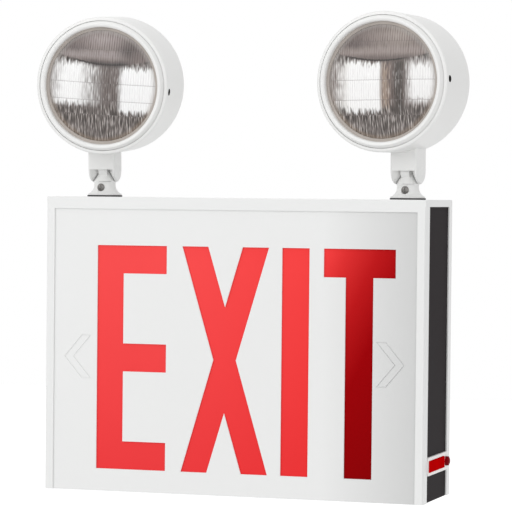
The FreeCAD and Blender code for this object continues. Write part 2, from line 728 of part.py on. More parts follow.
def terminal_block():
    """Supply terminals above the wire entry."""
    z = WIRE_ENTRY_R + TERMINAL_RISE
    half_x = TERMINAL_LENGTH / 2
    half_z = TERMINAL_HEIGHT / 2
    front = -SHEET - TERMINAL_DEPTH
    block = box(-half_x, half_x, front, -SHEET, z - half_z, z + half_z)
    pitch = TERMINAL_LENGTH / TERMINAL_WELLS
    wells = []
    for number in range(TERMINAL_WELLS):
        x = (number - (TERMINAL_WELLS - 1) / 2) * pitch
        wells.append(rod(TERMINAL_WELL_R, (x, front, z), (x, front + TERMINAL_DEPTH / 2, z)))
    return block.cut(wells)


# ---------------------------------------------------------------- lamp heads
# Each is built at the origin, facing -Y, with the pan axis on Z and the cabinet's top at Z = 0.

def base_gasket():
    ring = rod(GASKET_R, (0, 0, 0), (0, 0, GASKET_THICKNESS))
    return ring.cut(rod(NIPPLE_R + FIT_GAP, (0, 0, 0), (0, 0, GASKET_THICKNESS)))


def cup_radius(height):
    """Radius of the base cup's flared flank, a quarter-ellipse between foot and neck."""
    rise = (height - GASKET_THICKNESS - CUP_FOOT) / (CUP_TOP - GASKET_THICKNESS - CUP_FOOT)
    return CUP_FOOT_R - (CUP_FOOT_R - CUP_NECK_R) * math.sqrt(1 - (1 - rise) ** 2)


def base_cup():
    """Flared foot on a threaded nipple, bored for the swivel's spigot and for the lamp leads."""
    foot = GASKET_THICKNESS + CUP_FOOT
    middle = foot + (CUP_TOP - foot) * 0.3
    bore = SPIGOT_R + PIN_GAP
    floor = SWIVEL_SEAT - SPIGOT_LENGTH - SWIVEL_GAP
    profile = [(LEAD_BORE_R, -NIPPLE_LENGTH), (NIPPLE_R, -NIPPLE_LENGTH), (NIPPLE_R, GASKET_THICKNESS),
               (CUP_FOOT_R, GASKET_THICKNESS), (CUP_FOOT_R, foot),
               ((cup_radius(middle) - 0.4, middle), (CUP_NECK_R, CUP_TOP)), (bore, CUP_TOP), (bore, floor),
               (LEAD_BORE_R, floor)]
    cup = turned(profile, (0, 0, 0), (0, 0, 1), (1, 0, 0))
    z = CLAMP_SCREW_HEIGHT
    seat = clamp_seat()
    flat = rod(CLAMP_SCREW_HEAD_R + 0.5, (0, seat, z), (0, -CUP_FOOT_R - 1, z))
    hole = rod(CLAMP_SCREW_R, (0, 0, z), (0, -CUP_FOOT_R, z))
    return cup.cut([flat, hole])


def clamp_seat():
    """Depth of the spot face that the clamp screw's head sits on."""
    return -cup_radius(CLAMP_SCREW_HEIGHT + CLAMP_SCREW_HEAD_R) + 0.6


def clamp_screw():
    """Cross-head screw that bears on the swivel's spigot and locks the pan."""
    z = CLAMP_SCREW_HEIGHT
    seat = clamp_seat()
    tip = -SPIGOT_R - PIN_GAP
    head = CLAMP_SCREW_HEAD_R
    profile = [(0, -tip), (CLAMP_SCREW_R, -tip), (CLAMP_SCREW_R, -seat), (head, -seat), (head, -seat + 0.9),
               dome(head, -seat + 0.9, 1.4)]
    screw = turned(profile, (0, 0, z), (0, -1, 0), (1, 0, 0))
    front = seat - 2.3
    slots = [box(-2.0, 2.0, front - 0.1, front + 1.3, z - 0.45, z + 0.45),
             box(-0.45, 0.45, front - 0.1, front + 1.3, z - 2.0, z + 2.0)]
    return screw.cut(slots)


def base_locknut():
    """Hexagon nut inside the cabinet that draws the cup down on its gasket."""
    top = -SHEET
    across = NIPPLE_R + 4.2
    corners = [on_arc((0, 0), across / math.cos(math.radians(30)), 60 * n) for n in range(6)]
    wire = outline([(x, y, top - 5) for x, y in corners])
    nut = Part.Face(wire).extrude(Vec(0, 0, 5))
    return nut.cut(rod(NIPPLE_R, (0, 0, top - 5), (0, 0, top)))


def swivel():
    """Spigot in the cup, a cone that carries on the cup's flare, and the tongue of the tilt hinge."""
    tip_z = PIVOT_HEIGHT - CONE_TIP_BELOW_PIVOT
    half = TONGUE_THICKNESS / 2
    profile = [(0, SWIVEL_SEAT - SPIGOT_LENGTH), (SPIGOT_R, SWIVEL_SEAT - SPIGOT_LENGTH), (SPIGOT_R, SWIVEL_SEAT),
               (CUP_NECK_R, SWIVEL_SEAT), (half, tip_z), (0, tip_z)]
    cone = turned(profile, (0, 0, 0), (0, 0, 1), (1, 0, 0))
    stem = box(-half, half, -STEM_DEPTH / 2, STEM_DEPTH / 2, SWIVEL_SEAT, PIVOT_HEIGHT)
    tongue = rod(TONGUE_R, (-half, 0, PIVOT_HEIGHT), (half, 0, PIVOT_HEIGHT))
    body = joined(cone, stem, tongue)
    pin = rod(PIN_R + PIN_GAP, (-YOKE_WIDTH, 0, PIVOT_HEIGHT), (YOKE_WIDTH, 0, PIVOT_HEIGHT))
    return body.cut(pin)


def yoke():
    """Block hollowed for the tongue and, below the pivot, to clear the swivel's stem and cone."""
    half = YOKE_WIDTH / 2
    deep = YOKE_DEPTH / 2
    top = LAMP_AXIS_Z - SHELL_R + 7
    block = prism_x([(-deep, top), (-deep, PIVOT_HEIGHT), ((0, PIVOT_HEIGHT - deep), (deep, PIVOT_HEIGHT)),
                     (deep, top)], -half, half)
    upright = [e for e in block.Edges if e.Length > 15 and abs(abs(e.CenterOfMass.x) - half) < 0.1
               and e.CenterOfMass.z < top - 1]
    block = block.makeFillet(YOKE_EDGE, upright)
    slot_half = TONGUE_THICKNESS / 2 + SWIVEL_GAP
    pocket = rod(TONGUE_R + 2 * SWIVEL_GAP, (-slot_half, 0, PIVOT_HEIGHT), (slot_half, 0, PIVOT_HEIGHT))
    slot = box(-slot_half, slot_half, -deep - 1, deep + 1, 0, PIVOT_HEIGHT)
    flank = (CUP_NECK_R - TONGUE_THICKNESS / 2) / (PIVOT_HEIGHT - CONE_TIP_BELOW_PIVOT - SWIVEL_SEAT)
    start = CONE_TIP_BELOW_PIVOT
    reach = deep + 2
    rim = slot_half + SWIVEL_GAP + (reach - start) * flank
    relief = turned([(start, slot_half), (reach, rim), (reach, 0), (start, 0)], (0, 0, PIVOT_HEIGHT), (1, 0, 0),
                    (0, 0, 1))
    below = box(-half - 1, half + 1, -deep - 3, deep + 3, 0, PIVOT_HEIGHT)
    relief = relief.common(below)
    relief = relief.fuse(relief.mirror(Vec(0, 0, 0), Vec(1, 0, 0)))
    pin = rod(PIN_R, (-half, 0, PIVOT_HEIGHT), (half, 0, PIVOT_HEIGHT))
    return block.cut([pocket, slot, relief, pin])


def yoke_cuts():
    """The saddle that the shell beds in and the holes for the yoke screws, before the head leans."""
    saddle = lamp_turned(shell_outline() + [(0, SHELL_FRONT)])
    floor = yoke_screw_seat()
    holes = [rod(YOKE_SCREW_R + PIN_GAP, (0, y, floor - YOKE_SCREW_LENGTH), (0, y, floor))
             for y in yoke_screw_places()]
    return [saddle] + holes


def yoke_screw_places():
    return (-YOKE_DEPTH * 0.28, YOKE_DEPTH * 0.28)


def yoke_screw_seat():
    """Height of the flat seats inside the shell that the yoke screws' heads bear on."""
    return LAMP_AXIS_Z - SHELL_R + SHELL_WALL - 0.3


def pivot_pin():
    """Pin through both cheeks and the tongue, with a low domed head at each end."""
    half = YOKE_WIDTH / 2
    profile = [(0, -half - PIN_HEAD), dome_edge(PIN_HEAD_R, -half, PIN_HEAD, -1), (PIN_R, -half), (PIN_R, half),
               (PIN_HEAD_R, half), dome(PIN_HEAD_R, half, PIN_HEAD)]
    return turned(profile, (0, 0, PIVOT_HEIGHT), (1, 0, 0), (0, 0, 1))


def lamp_turned(profile):
    """Revolve (radius, forward) points about the lamp's axis."""
    return turned(profile, (0, 0, LAMP_AXIS_Z), (0, -1, 0), (0, 0, 1))


def shell_outline():
    """Outer side of the shell as (radius, forward) points: back disc, rounded shoulder, drum and front edge."""
    back_r = SHELL_R - SHELL_BACK_ROUND
    lip = SHELL_LIP_ROUND
    return [(0, -SHELL_BACK), (back_r, -SHELL_BACK),
            (on_arc((back_r, SHELL_BACK_ROUND - SHELL_BACK), SHELL_BACK_ROUND, -45),
             (SHELL_R, SHELL_BACK_ROUND - SHELL_BACK)),
            (SHELL_R, SHELL_FRONT - lip),
            (on_arc((SHELL_R - lip, SHELL_FRONT - lip), lip, 45), (SHELL_R - lip, SHELL_FRONT))]


def lamp_shell():
    """Drum with a rounded back. Its lip holds the retaining ring, and a ledge seats the lamp's rim."""
    back_r = SHELL_R - SHELL_BACK_ROUND
    wall = SHELL_WALL
    inner_r = SHELL_R - wall
    shoulder = SHELL_BACK_ROUND - SHELL_BACK
    ledge = LAMP_R - 3
    inside = [(SHELL_LIP_R, SHELL_FRONT), (SHELL_LIP_R, LAMP_SEAT), (ledge, LAMP_SEAT), (ledge, LAMP_SEAT - 3),
              (inner_r, LAMP_SEAT - 6), (inner_r, shoulder),
              (on_arc((back_r, shoulder), SHELL_BACK_ROUND - wall, -45), (back_r, wall - SHELL_BACK)),
              (0, wall - SHELL_BACK)]
    shell = lamp_turned(shell_outline() + inside)
    floor = yoke_screw_seat()
    for y in yoke_screw_places():
        shell = shell.cut(rod(YOKE_SCREW_R + SWIVEL_GAP, (0, y, floor - wall - 2), (0, y, floor)))
        shell = shell.cut(rod(YOKE_SCREW_HEAD_R + SWIVEL_GAP, (0, y, floor), (0, y, floor + wall)))
    return shell


def ring_screw_rods(radius, reach, roll=0.0):
    """Two rods across the lamp at the ring screws, one to each side."""
    y = -(SHELL_FRONT - RING_SCREW_SETBACK)
    rods = []
    for side in (-1, 1):
        spoke = rod(radius, (side * (LAMP_R - 1), y, LAMP_AXIS_Z), (side * reach, y, LAMP_AXIS_Z))
        spoke.rotate(Vec(0, 0, LAMP_AXIS_Z), Vec(0, -1, 0), roll)
        rods.append(spoke)
    return rods


def retaining_ring():
    """Convex ring inside the shell's lip, stepped behind to clamp the lamp's rim through its gasket."""
    front = SHELL_FRONT
    crest_r = (RING_R + RING_OPENING_R) / 2 + 0.6
    crest = front + RING_BULGE
    rim = RIM_FRONT + RING_LIP
    skirt = LAMP_SEAT + SWIVEL_GAP
    profile = [(RING_R, skirt), (RING_R, front - 0.4), ((RING_R - 0.9, front + 1.6), (crest_r, crest)),
               ((RING_OPENING_R + 0.5, crest - 0.9), (RING_OPENING_R, crest - 2.6)), (RING_OPENING_R, rim),
               (LAMP_R + SWIVEL_GAP, rim), (LAMP_R + SWIVEL_GAP, skirt)]
    return lamp_turned(profile).cut(ring_screw_rods(RING_SCREW_R, SHELL_R))


def ring_screws():
    """Two short grub screws, sunk in the lip's holes and biting in the ring."""
    y = -(SHELL_FRONT - RING_SCREW_SETBACK)
    end = SHELL_R - RING_SCREW_SINK
    screws = []
    for side in (-1, 1):
        screw = rod(RING_SCREW_R, (side * (LAMP_R + 2 * SWIVEL_GAP), y, LAMP_AXIS_Z), (side * end, y, LAMP_AXIS_Z))
        slot = box(-0.4, 0.4, -2.2, 2.2, -0.6, 0.6)
        slot.rotate(Vec(0, 0, 0), Vec(0, 1, 0), 90)
        slot.translate(Vec(side * end, y, LAMP_AXIS_Z))
        screws.append(screw.cut(slot))
    return Part.makeCompound(screws)


def lamp_gasket():
    """Soft ring between the lamp's rim and the retaining ring. Its inner edge shows round the glass."""
    rim = RIM_FRONT
    profile = [(LENS_DOME_R, rim), (LENS_DOME_R, rim + RING_LIP * 0.6), (LENS_DOME_R + 0.6, rim + RING_LIP),
               (LAMP_R - 0.4, rim + RING_LIP), (LAMP_R - 0.4, rim)]
    return lamp_turned(profile)


def lamp_lens():
    """Front glass of the sealed lamp: a domed disc on a flat rim, hollow behind."""
    rim = RIM_FRONT
    back = LAMP_SEAT + LAMP_RIM
    inner_r = LENS_DOME_R - 1.5
    inner_dome = LENS_DOME + LAMP_RIM - GLASS
    profile = [(0, rim + LENS_DOME), dome_edge(LENS_DOME_R, rim, LENS_DOME), (LAMP_R, rim), (LAMP_R, back),
               (inner_r, back), dome(inner_r, back, inner_dome)]
    return lamp_turned(profile)


def lamp_reflector():
    """Mirrored glass bowl of the sealed lamp, with two screw terminals on its back."""
    back = LAMP_SEAT + LAMP_RIM
    bowl_r = LAMP_R - 6.5
    throat_r = REFLECTOR_THROAT_R
    throat = LAMP_SEAT - REFLECTOR_DEPTH
    bend_r = REFLECTOR_BEND_R
    bend = LAMP_SEAT - REFLECTOR_BEND
    profile = [(LAMP_R, LAMP_SEAT), (LAMP_R, back), (bowl_r, back), (bowl_r, LAMP_SEAT - 1),
               ((bend_r, bend), (throat_r, throat)), (0, throat), (0, throat - GLASS), (throat_r + 1, throat - GLASS),
               ((bend_r + 2.2, bend - 2.2), (bowl_r + 2.0, LAMP_SEAT - 4)), (bowl_r + 2.0, LAMP_SEAT)]
    bowl = lamp_turned(profile)
    lugs = [rod(3.0, (x, -throat + GLASS - 0.2, LAMP_AXIS_Z), (x, -throat + GLASS + 6, LAMP_AXIS_Z)) for x in (-7, 7)]
    return joined(bowl, *lugs)


def lamp_bulb():
    """Halogen capsule at the focus, with the cap that hides it from in front."""
    start = LAMP_SEAT - REFLECTOR_DEPTH
    profile = [(0, start), (4, start), (4, start + 6), (5, start + 9), (5, start + 22),
               dome(5, start + 22, 4.8)]
    return lamp_turned(profile)


def yoke_screws():
    """Two screws from inside the shell into the yoke."""
    floor = yoke_screw_seat()
    screws = []
    for y in yoke_screw_places():
        shank = rod(YOKE_SCREW_R, (0, y, floor - YOKE_SCREW_LENGTH), (0, y, floor))
        screws.append(joined(shank, rod(YOKE_SCREW_HEAD_R, (0, y, floor), (0, y, floor + 1.8))))
    return Part.makeCompound(screws)


FIXED_PIECES = {"base_gasket": base_gasket, "base_cup": base_cup, "base_locknut": base_locknut,
                "clamp_screw": clamp_screw}
PAN_PIECES = {"swivel": swivel}
TILT_PIECES = {"yoke": yoke, "pivot_pin": pivot_pin, "lamp_shell": lamp_shell, "yoke_screws": yoke_screws,
               "retaining_ring": retaining_ring, "ring_screws": ring_screws, "lamp_gasket": lamp_gasket,
               "lamp_lens": lamp_lens, "lamp_reflector": lamp_reflector, "lamp_bulb": lamp_bulb}
LEANING_PIECES = ("lamp_shell", "yoke_screws", "retaining_ring", "ring_screws", "lamp_gasket", "lamp_lens",
                  "lamp_reflector", "lamp_bulb")
RING_PIECES = ("retaining_ring", "ring_screws", "lamp_lens", "lamp_reflector", "lamp_bulb")


def leaned(shape, side_name):
    """Lean a piece sideways about the pivot, the way the shell is bedded on its yoke."""
    shape.rotate(Vec(0, 0, PIVOT_HEIGHT), Vec(0, 1, 0), HEAD_LEAN[side_name])
    return shape


def lamp_head(side_name, side):
    """One complete head, aimed: the tilt turns about the pivot, then the pan about the cup's axis."""
    pan, tilt = HEAD_AIM[side_name]
    home = Vec(side * HEAD_OFFSET, HEAD_Y, TOP)
    lamp_axis = Vec(0, 0, LAMP_AXIS_Z)
    for pieces, pans, tilts in ((FIXED_PIECES, False, False), (PAN_PIECES, True, False), (TILT_PIECES, True, True)):
        for name, make in pieces.items():
            shape = make()
            if name == "lamp_shell":
                shape = shape.cut(ring_screw_rods(RING_SCREW_HOLE_R, SHELL_R + 1, RING_TURN[side_name]))
            if name in RING_PIECES:
                shape.rotate(lamp_axis, Vec(0, -1, 0), RING_TURN[side_name])
            if name == "yoke":
                shape = shape.cut([leaned(cut, side_name) for cut in yoke_cuts()])
            if name in LEANING_PIECES:
                shape = leaned(shape, side_name)
            if tilts:
                shape.rotate(Vec(0, 0, PIVOT_HEIGHT), Vec(1, 0, 0), -tilt)
            if pans:
                shape.rotate(Vec(0, 0, 0), Vec(0, 0, 1), pan)
            shape.translate(home)
            save(side_name + "_" + name, shape)


def main():
    os.makedirs("parts", exist_ok=True)
    save("back_pan", back_pan())
    save("top_cover", top_cover())
    save("end_panel_left", end_panel(-1))
    save("end_panel_right", end_panel(1))
    save("bottom_panel", bottom_panel())
    save("frame_left", frame_side(-1))
    save("frame_right", frame_side(1))
    save("frame_top", frame_top())
    save("stencil_face", stencil_face())
    save("lens_panel", lens_panel())
    save("face_screws", face_screws())
    save("switch_bezel", switch_bezel())
    save("pilot_lens", pilot_lens())
    save("pilot_board", pilot_board())
    save("test_button", test_button())
    save("test_switch", test_switch())
    save("light_baffle", light_baffle())
    save("led_strip_upper", led_strip(1))
    save("led_strip_lower", led_strip(-1))
    save("led_chips", led_chips())
    save("battery", battery())
    save("battery_strap", battery_strap())
    save("charger_board", charger_board())
    save("board_standoffs", board_standoffs())
    save("transformer", transformer())
    save("board_parts", board_parts())
    save("terminal_block", terminal_block())
    lamp_head("left", -1)
    lamp_head("right", 1)


main()
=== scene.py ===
import json
import math

import bpy
import numpy
from bpy.props import FloatProperty, FloatVectorProperty, PointerProperty
from bpy.types import Operator, Panel, PropertyGroup
from mathutils import Matrix, Vector


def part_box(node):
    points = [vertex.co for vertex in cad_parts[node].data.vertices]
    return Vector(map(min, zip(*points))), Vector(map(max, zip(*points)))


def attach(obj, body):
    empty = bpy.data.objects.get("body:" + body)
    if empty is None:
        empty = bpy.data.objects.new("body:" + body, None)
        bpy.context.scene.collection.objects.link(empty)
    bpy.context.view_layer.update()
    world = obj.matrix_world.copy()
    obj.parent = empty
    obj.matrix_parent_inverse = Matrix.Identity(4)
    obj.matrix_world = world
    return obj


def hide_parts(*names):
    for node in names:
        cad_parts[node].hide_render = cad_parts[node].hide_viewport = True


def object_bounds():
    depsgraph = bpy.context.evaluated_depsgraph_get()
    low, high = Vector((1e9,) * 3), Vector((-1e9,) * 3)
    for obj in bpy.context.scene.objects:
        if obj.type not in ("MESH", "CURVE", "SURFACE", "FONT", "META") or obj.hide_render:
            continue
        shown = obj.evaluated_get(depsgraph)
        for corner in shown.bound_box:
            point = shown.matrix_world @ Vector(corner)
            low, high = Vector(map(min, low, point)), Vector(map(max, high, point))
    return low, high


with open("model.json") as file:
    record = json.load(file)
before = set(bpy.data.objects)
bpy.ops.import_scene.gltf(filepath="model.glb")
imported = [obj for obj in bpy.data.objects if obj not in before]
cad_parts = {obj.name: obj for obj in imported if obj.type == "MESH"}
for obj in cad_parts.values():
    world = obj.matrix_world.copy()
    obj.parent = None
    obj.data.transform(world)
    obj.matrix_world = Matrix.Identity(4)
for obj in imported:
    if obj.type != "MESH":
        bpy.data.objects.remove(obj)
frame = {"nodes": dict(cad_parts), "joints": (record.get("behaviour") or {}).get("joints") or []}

bl_info = {
    "name": "Emergency exit light dressing",
    "version": (1, 0, 0),
    "blender": (4, 5, 0),
    "location": "3D View > Sidebar > Exit Light",
    "description": "Finishes, fluted lamp glasses and a plain studio for a wall exit light",
    "category": "Object",
}

CAD_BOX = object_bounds()
SIDES = ("left", "right")
MILLIMETRE = 0.001

# Painted shade on the face: where it darkens along X, and by how much.
FACE_PAINTED_SHADE = (0.085, 0.174, 0.25)

# The red panel. Its shade starts just before the last letter, a share of the panel's width along.
# Between SHADE_TOP below its top and SHADE_FOOT above its foot, the shade moves on by SHADE_SHIFT.
# From DEEPEN_TOP below its top downwards, painted shade deepens the red, by DEEPEN_SHARE at the
# foot.
LAST_LETTER = 0.72
LAST_LETTER_ONSET = 40.0
SHADE_TOP = 0.045
SHADE_FOOT = 0.02
SHADE_SHIFT = 0.27
DEEPEN_TOP = 0.06
DEEPEN_SHARE = 0.55
FOOT_SHADE_COLOUR = (0.82, 0.30, 0.38)
SHADE_REACH = 0.78
SHADE_STOPS = (
    (0.58, (0.97, 0.058, 0.058, 1.0)),
    (0.63, (0.76, 0.030, 0.031, 1.0)),
    (0.69, (0.54, 0.010, 0.012, 1.0)),
)

# How far the painted shade of a screw hole goes past its screw: sideways, inwards and outwards.
HOLE_SPREAD = 1.55
HOLE_NEAR = 0.9
HOLE_FAR = 1.12
HOLE_SHADE = (0.012, 0.011, 0.011)

# Plated metal: how its scratches are drawn out along X, the size of its dull patches, and how much
# a scratch changes the gloss.
SCRATCH_STRETCH = (1.0, 0.08, 0.08)
DULL_SCALE = 400.0
SCRATCH_GLOSS = 0.3

# The grid that is pressed into a lamp glass.
COLUMNS_PER_FLUTE = 4
GRID_ROWS = 66
GRID_LIFT = 0.02
SHOULDER_SHARE = 0.72

# How far the streaks of one block of flutes are shifted from those of the block under it.
BLOCK_SHIFT = 5.3

# How bright the world lights the object, what it adds where it is seen, and the same for the floor.
WORLD_LIGHT = 0.62
WORLD_SEEN = 0.38
FLOOR_SEEN = 0.55

# Square lamps that point at the middle of the object: name, place, side and power.
LAMPS = (
    ("key_light", (-1.25, -1.9, 1.15), 1.9, 17.5),
    ("fill_light", (2.2, -2.4, 0.7), 2.4, 16.0),
    ("top_light", (0.0, -0.4, 2.2), 1.6, 6.0),
)

CAMERA_PLACE = (0.75867, -2.40742, 0.13615)
CAMERA_TURN = (88.7266, -0.5700, 17.6879)
CAMERA_LENS = 191.3


# ------------------------------------------------------------------ sizes and colours

def length(name, default, description):
    return FloatProperty(name=name, default=default, description=description, unit="LENGTH",
                         precision=5)


def colour(name, default, description):
    return FloatVectorProperty(name=name, default=(*default, 1.0), size=4, subtype="COLOR", min=0.0,
                               max=1.0, description=description)


class ExitLightSizes(PropertyGroup):
    flute_pitch: length("Flute pitch", 0.00225, "Width of one flute in the lamp glass")
    flute_depth: length("Flute depth", 0.0004, "How far a flute stands proud of the glass")
    seam_depth: length("Seam depth", 0.0003,
                       "How deep the level seams between blocks of flutes are")
    glass_thickness: length("Glass thickness", 0.0022, "Wall of the lamp glass")
    glass_radius: length("Glass radius", 0.0518, "Radius of the fluted glass, just under its seal")
    floor_drop: length("Floor drop", 0.45, "How far the floor lies below the cabinet")
    floor_size: length("Floor size", 14.0, "Side of the floor")


class ExitLightColours(PropertyGroup):
    enamel: colour("White enamel", (0.845, 0.85, 0.845), "Cabinet, frame and stencil")
    end_enamel: colour("Black enamel", (0.016, 0.013, 0.014), "End panels and floor of the cabinet")
    head_white: colour("Head plastic", (0.87, 0.87, 0.86), "Lamp shells, rings, yokes and cups")
    letter_red: colour("Letter red", (0.98, 0.082, 0.083),
                       "Red panel where the room's light falls on it")
    letter_shade: colour("Letter shade", (0.36, 0.001, 0.003), "Red panel at its shaded end")
    pilot_red: colour("Pilot red", (0.68, 0.001, 0.002), "Window of the pilot light")
    button_red: colour("Button red", (0.24, 0.003, 0.008), "Test button")
    seal_tan: colour("Seal tan", (0.52, 0.47, 0.43), "Seal round each lamp")
    zinc: colour("Zinc", (0.30, 0.29, 0.28), "Screws and nuts")


# ------------------------------------------------------------------ shader parts

def add(tree, kind, **settings):
    node = tree.nodes.new(kind)
    for name, value in settings.items():
        setattr(node, name, value)
    return node


def join(tree, source, target):
    tree.links.new(source, target)


def maths(tree, operation, first, second=None, clamp=False):
    """A Math node. Its inputs are sockets or numbers."""
    node = add(tree, "ShaderNodeMath", operation=operation, use_clamp=clamp)
    for slot, value in enumerate((first, second)):
        if value is None:
            continue
        if isinstance(value, (int, float)):
            node.inputs[slot].default_value = value
        else:
            join(tree, value, node.inputs[slot])
    return node.outputs[0]


def blended(tree, factor, first, second, blend="MIX"):
    """A colour Mix node. The factor and the colours are sockets or values."""
    node = add(tree, "ShaderNodeMix", data_type="RGBA", blend_type=blend)
    for slot, value in ((0, factor), (6, first), (7, second)):
        if isinstance(value, bpy.types.NodeSocket):
            join(tree, value, node.inputs[slot])
        elif slot == 0:
            node.inputs[slot].default_value = value
        else:
            node.inputs[slot].default_value = (*value[:3], 1.0)
    return node.outputs[2]


def ramped(tree, value, start, end, first=0.0, last=1.0):
    """A value that goes from first at start to last at end, and stays level beyond them."""
    node = add(tree, "ShaderNodeMapRange")
    for label, number in (("From Min", start), ("From Max", end),
                          ("To Min", first), ("To Max", last)):
        node.inputs[label].default_value = number
    join(tree, value, node.inputs["Value"])
    return node.outputs[0]


def effect(name, inputs, outputs):
    """An empty node group with named inputs and outputs."""
    group = bpy.data.node_groups.new(name, "ShaderNodeTree")
    for label, kind, value in inputs:
        socket = group.interface.new_socket(label, in_out="INPUT", socket_type="NodeSocket" + kind)
        if value is not None:
            socket.default_value = value
    for label, kind in outputs:
        group.interface.new_socket(label, in_out="OUTPUT", socket_type="NodeSocket" + kind)
    return group, add(group, "NodeGroupInput").outputs, add(group, "NodeGroupOutput").inputs


def skin_effect():
    """Fine relief, soft mottling and uneven gloss, as on sprayed paint or moulded plastic."""
    group, given, made = effect("Surface skin", [
        ("Vector", "Vector", None), ("Colour", "Color", (0.8, 0.8, 0.8, 1.0)),
        ("Mottle Colour", "Color", (0.7, 0.7, 0.7, 1.0)), ("Mottle Scale", "Float", 12.0),
        ("Grain Scale", "Float", 900.0), ("Roughness", "Float", 0.4),
        ("Gloss Spread", "Float", 0.1),
    ], [("Colour", "Color"), ("Roughness", "Float"), ("Height", "Float")])
    mottle = add(group, "ShaderNodeTexNoise")
    mottle.inputs["Detail"].default_value = 4.0
    grain = add(group, "ShaderNodeTexNoise")
    grain.inputs["Detail"].default_value = 2.0
    for node, scale in ((mottle, "Mottle Scale"), (grain, "Grain Scale")):
        join(group, given["Vector"], node.inputs["Vector"])
        join(group, given[scale], node.inputs["Scale"])
    join(group, blended(group, mottle.outputs[0], given["Colour"], given["Mottle Colour"]),
         made["Colour"])
    centred = maths(group, "SUBTRACT", mottle.outputs[0], 0.5)
    uneven = maths(group, "MULTIPLY", centred, given["Gloss Spread"])
    join(group, maths(group, "ADD", given["Roughness"], uneven, clamp=True), made["Roughness"])
    join(group, grain.outputs[0], made["Height"])
    return group


def brushed_effect():
    """Fine drawn scratches with dull patches, as on plated steel."""
    group, given, made = effect("Brushed plating", [
        ("Vector", "Vector", None), ("Colour", "Color", (0.5, 0.5, 0.5, 1.0)),
        ("Dull Colour", "Color", (0.3, 0.3, 0.3, 1.0)), ("Scratch Scale", "Float", 1500.0),
        ("Roughness", "Float", 0.35),
    ], [("Colour", "Color"), ("Roughness", "Float"), ("Height", "Float")])
    stretch = add(group, "ShaderNodeVectorMath", operation="MULTIPLY")
    stretch.inputs[1].default_value = SCRATCH_STRETCH
    join(group, given["Vector"], stretch.inputs[0])
    scratch = add(group, "ShaderNodeTexNoise")
    join(group, stretch.outputs[0], scratch.inputs["Vector"])
    join(group, given["Scratch Scale"], scratch.inputs["Scale"])
    patch = add(group, "ShaderNodeTexNoise")
    patch.inputs["Scale"].default_value = DULL_SCALE
    join(group, given["Vector"], patch.inputs["Vector"])
    join(group, blended(group, patch.outputs[0], given["Colour"], given["Dull Colour"]),
         made["Colour"])
    rub = maths(group, "MULTIPLY", maths(group, "SUBTRACT", scratch.outputs[0], 0.5), SCRATCH_GLOSS)
    join(group, maths(group, "ADD", given["Roughness"], rub, clamp=True), made["Roughness"])
    join(group, scratch.outputs[0], made["Height"])
    return group


def window_effect():
    """Mask of a soft-edged oblong, one inside and nought outside."""
    group, given, made = effect("Soft window", [
        ("Across", "Float", 0.0), ("Up", "Float", 0.0),
        ("Centre Across", "Float", 0.0), ("Centre Up", "Float", 0.0),
        ("Half Width", "Float", 0.01), ("Half Height", "Float", 0.01),
        ("Fade Across", "Float", 0.002), ("Fade Up", "Float", 0.002),
    ], [("Mask", "Float")])
    fades = []
    for at, centre, half, fade in (("Across", "Centre Across", "Half Width", "Fade Across"),
                                   ("Up", "Centre Up", "Half Height", "Fade Up")):
        away = maths(group, "ABSOLUTE", maths(group, "SUBTRACT", given[at], given[centre]))
        inside = maths(group, "DIVIDE", maths(group, "SUBTRACT", given[half], away), given[fade])
        fades.append(maths(group, "ADD", inside, 0.5, clamp=True))
    join(group, maths(group, "MULTIPLY", *fades), made["Mask"])
    return group


def streak_effect():
    """Upright streaks and flute lines of pressed lamp glass, from its own across and up, that break
    up its painted reflection and shade.
    """
    group, given, made = effect("Flute streaks", [
        ("Across", "Float", 0.0), ("Up", "Float", 0.0), ("Block", "Float", 0.0),
        ("Pitch", "Float", 0.002), ("Run", "Float", 0.02),
    ], [("Streak", "Float"), ("Line", "Float"), ("Comb", "Float")])
    over = maths(group, "DIVIDE", given["Across"], given["Pitch"])
    up = maths(group, "DIVIDE", given["Up"], given["Run"])
    shifted = maths(group, "MULTIPLY", given["Block"], BLOCK_SHIFT)
    for label, times, spread in (("Streak", 1.7, 3.0), ("Comb", 1.25, 2.8)):
        place = add(group, "ShaderNodeCombineXYZ")
        join(group, maths(group, "MULTIPLY", over, times), place.inputs[0])
        join(group, maths(group, "ADD", up, shifted), place.inputs[1])
        noise = add(group, "ShaderNodeTexNoise")
        noise.inputs["Scale"].default_value = 1.0
        noise.inputs["Detail"].default_value = 1.0
        join(group, place.outputs[0], noise.inputs["Vector"])
        stretch = maths(group, "MULTIPLY", maths(group, "SUBTRACT", noise.outputs[0], 0.5), spread)
        join(group, maths(group, "ADD", stretch, 0.5, clamp=True), made[label])
    turn = maths(group, "ADD", maths(group, "MULTIPLY", over, 2 * math.pi), shifted)
    wave = maths(group, "ADD", maths(group, "MULTIPLY", maths(group, "COSINE", turn), 0.5), 0.5)
    join(group, maths(group, "POWER", wave, 3.0), made["Line"])
    return group


def placed_effect(tree, group, **values):
    """Put a group in a material. Values are named by its inputs, with _ for a space."""
    node = add(tree, "ShaderNodeGroup", node_tree=group)
    for name, value in values.items():
        socket = node.inputs[name.replace("_", " ")]
        if isinstance(value, bpy.types.NodeSocket):
            join(tree, value, socket)
        else:
            socket.default_value = value
    return node.outputs


def new_material(name):
    """A material with its Principled BSDF and Object coordinates."""
    material = bpy.data.materials.new(name)
    material.use_nodes = True
    tree = material.node_tree
    shader = tree.nodes["Principled BSDF"]
    place = add(tree, "ShaderNodeTexCoord").outputs["Object"]
    return material, tree, shader, place


def bumped(tree, shader, height, distance, strength):
    bump = add(tree, "ShaderNodeBump")
    bump.inputs["Distance"].default_value = distance
    bump.inputs["Strength"].default_value = strength
    join(tree, height, bump.inputs["Height"])
    join(tree, bump.outputs[0], shader.inputs["Normal"])


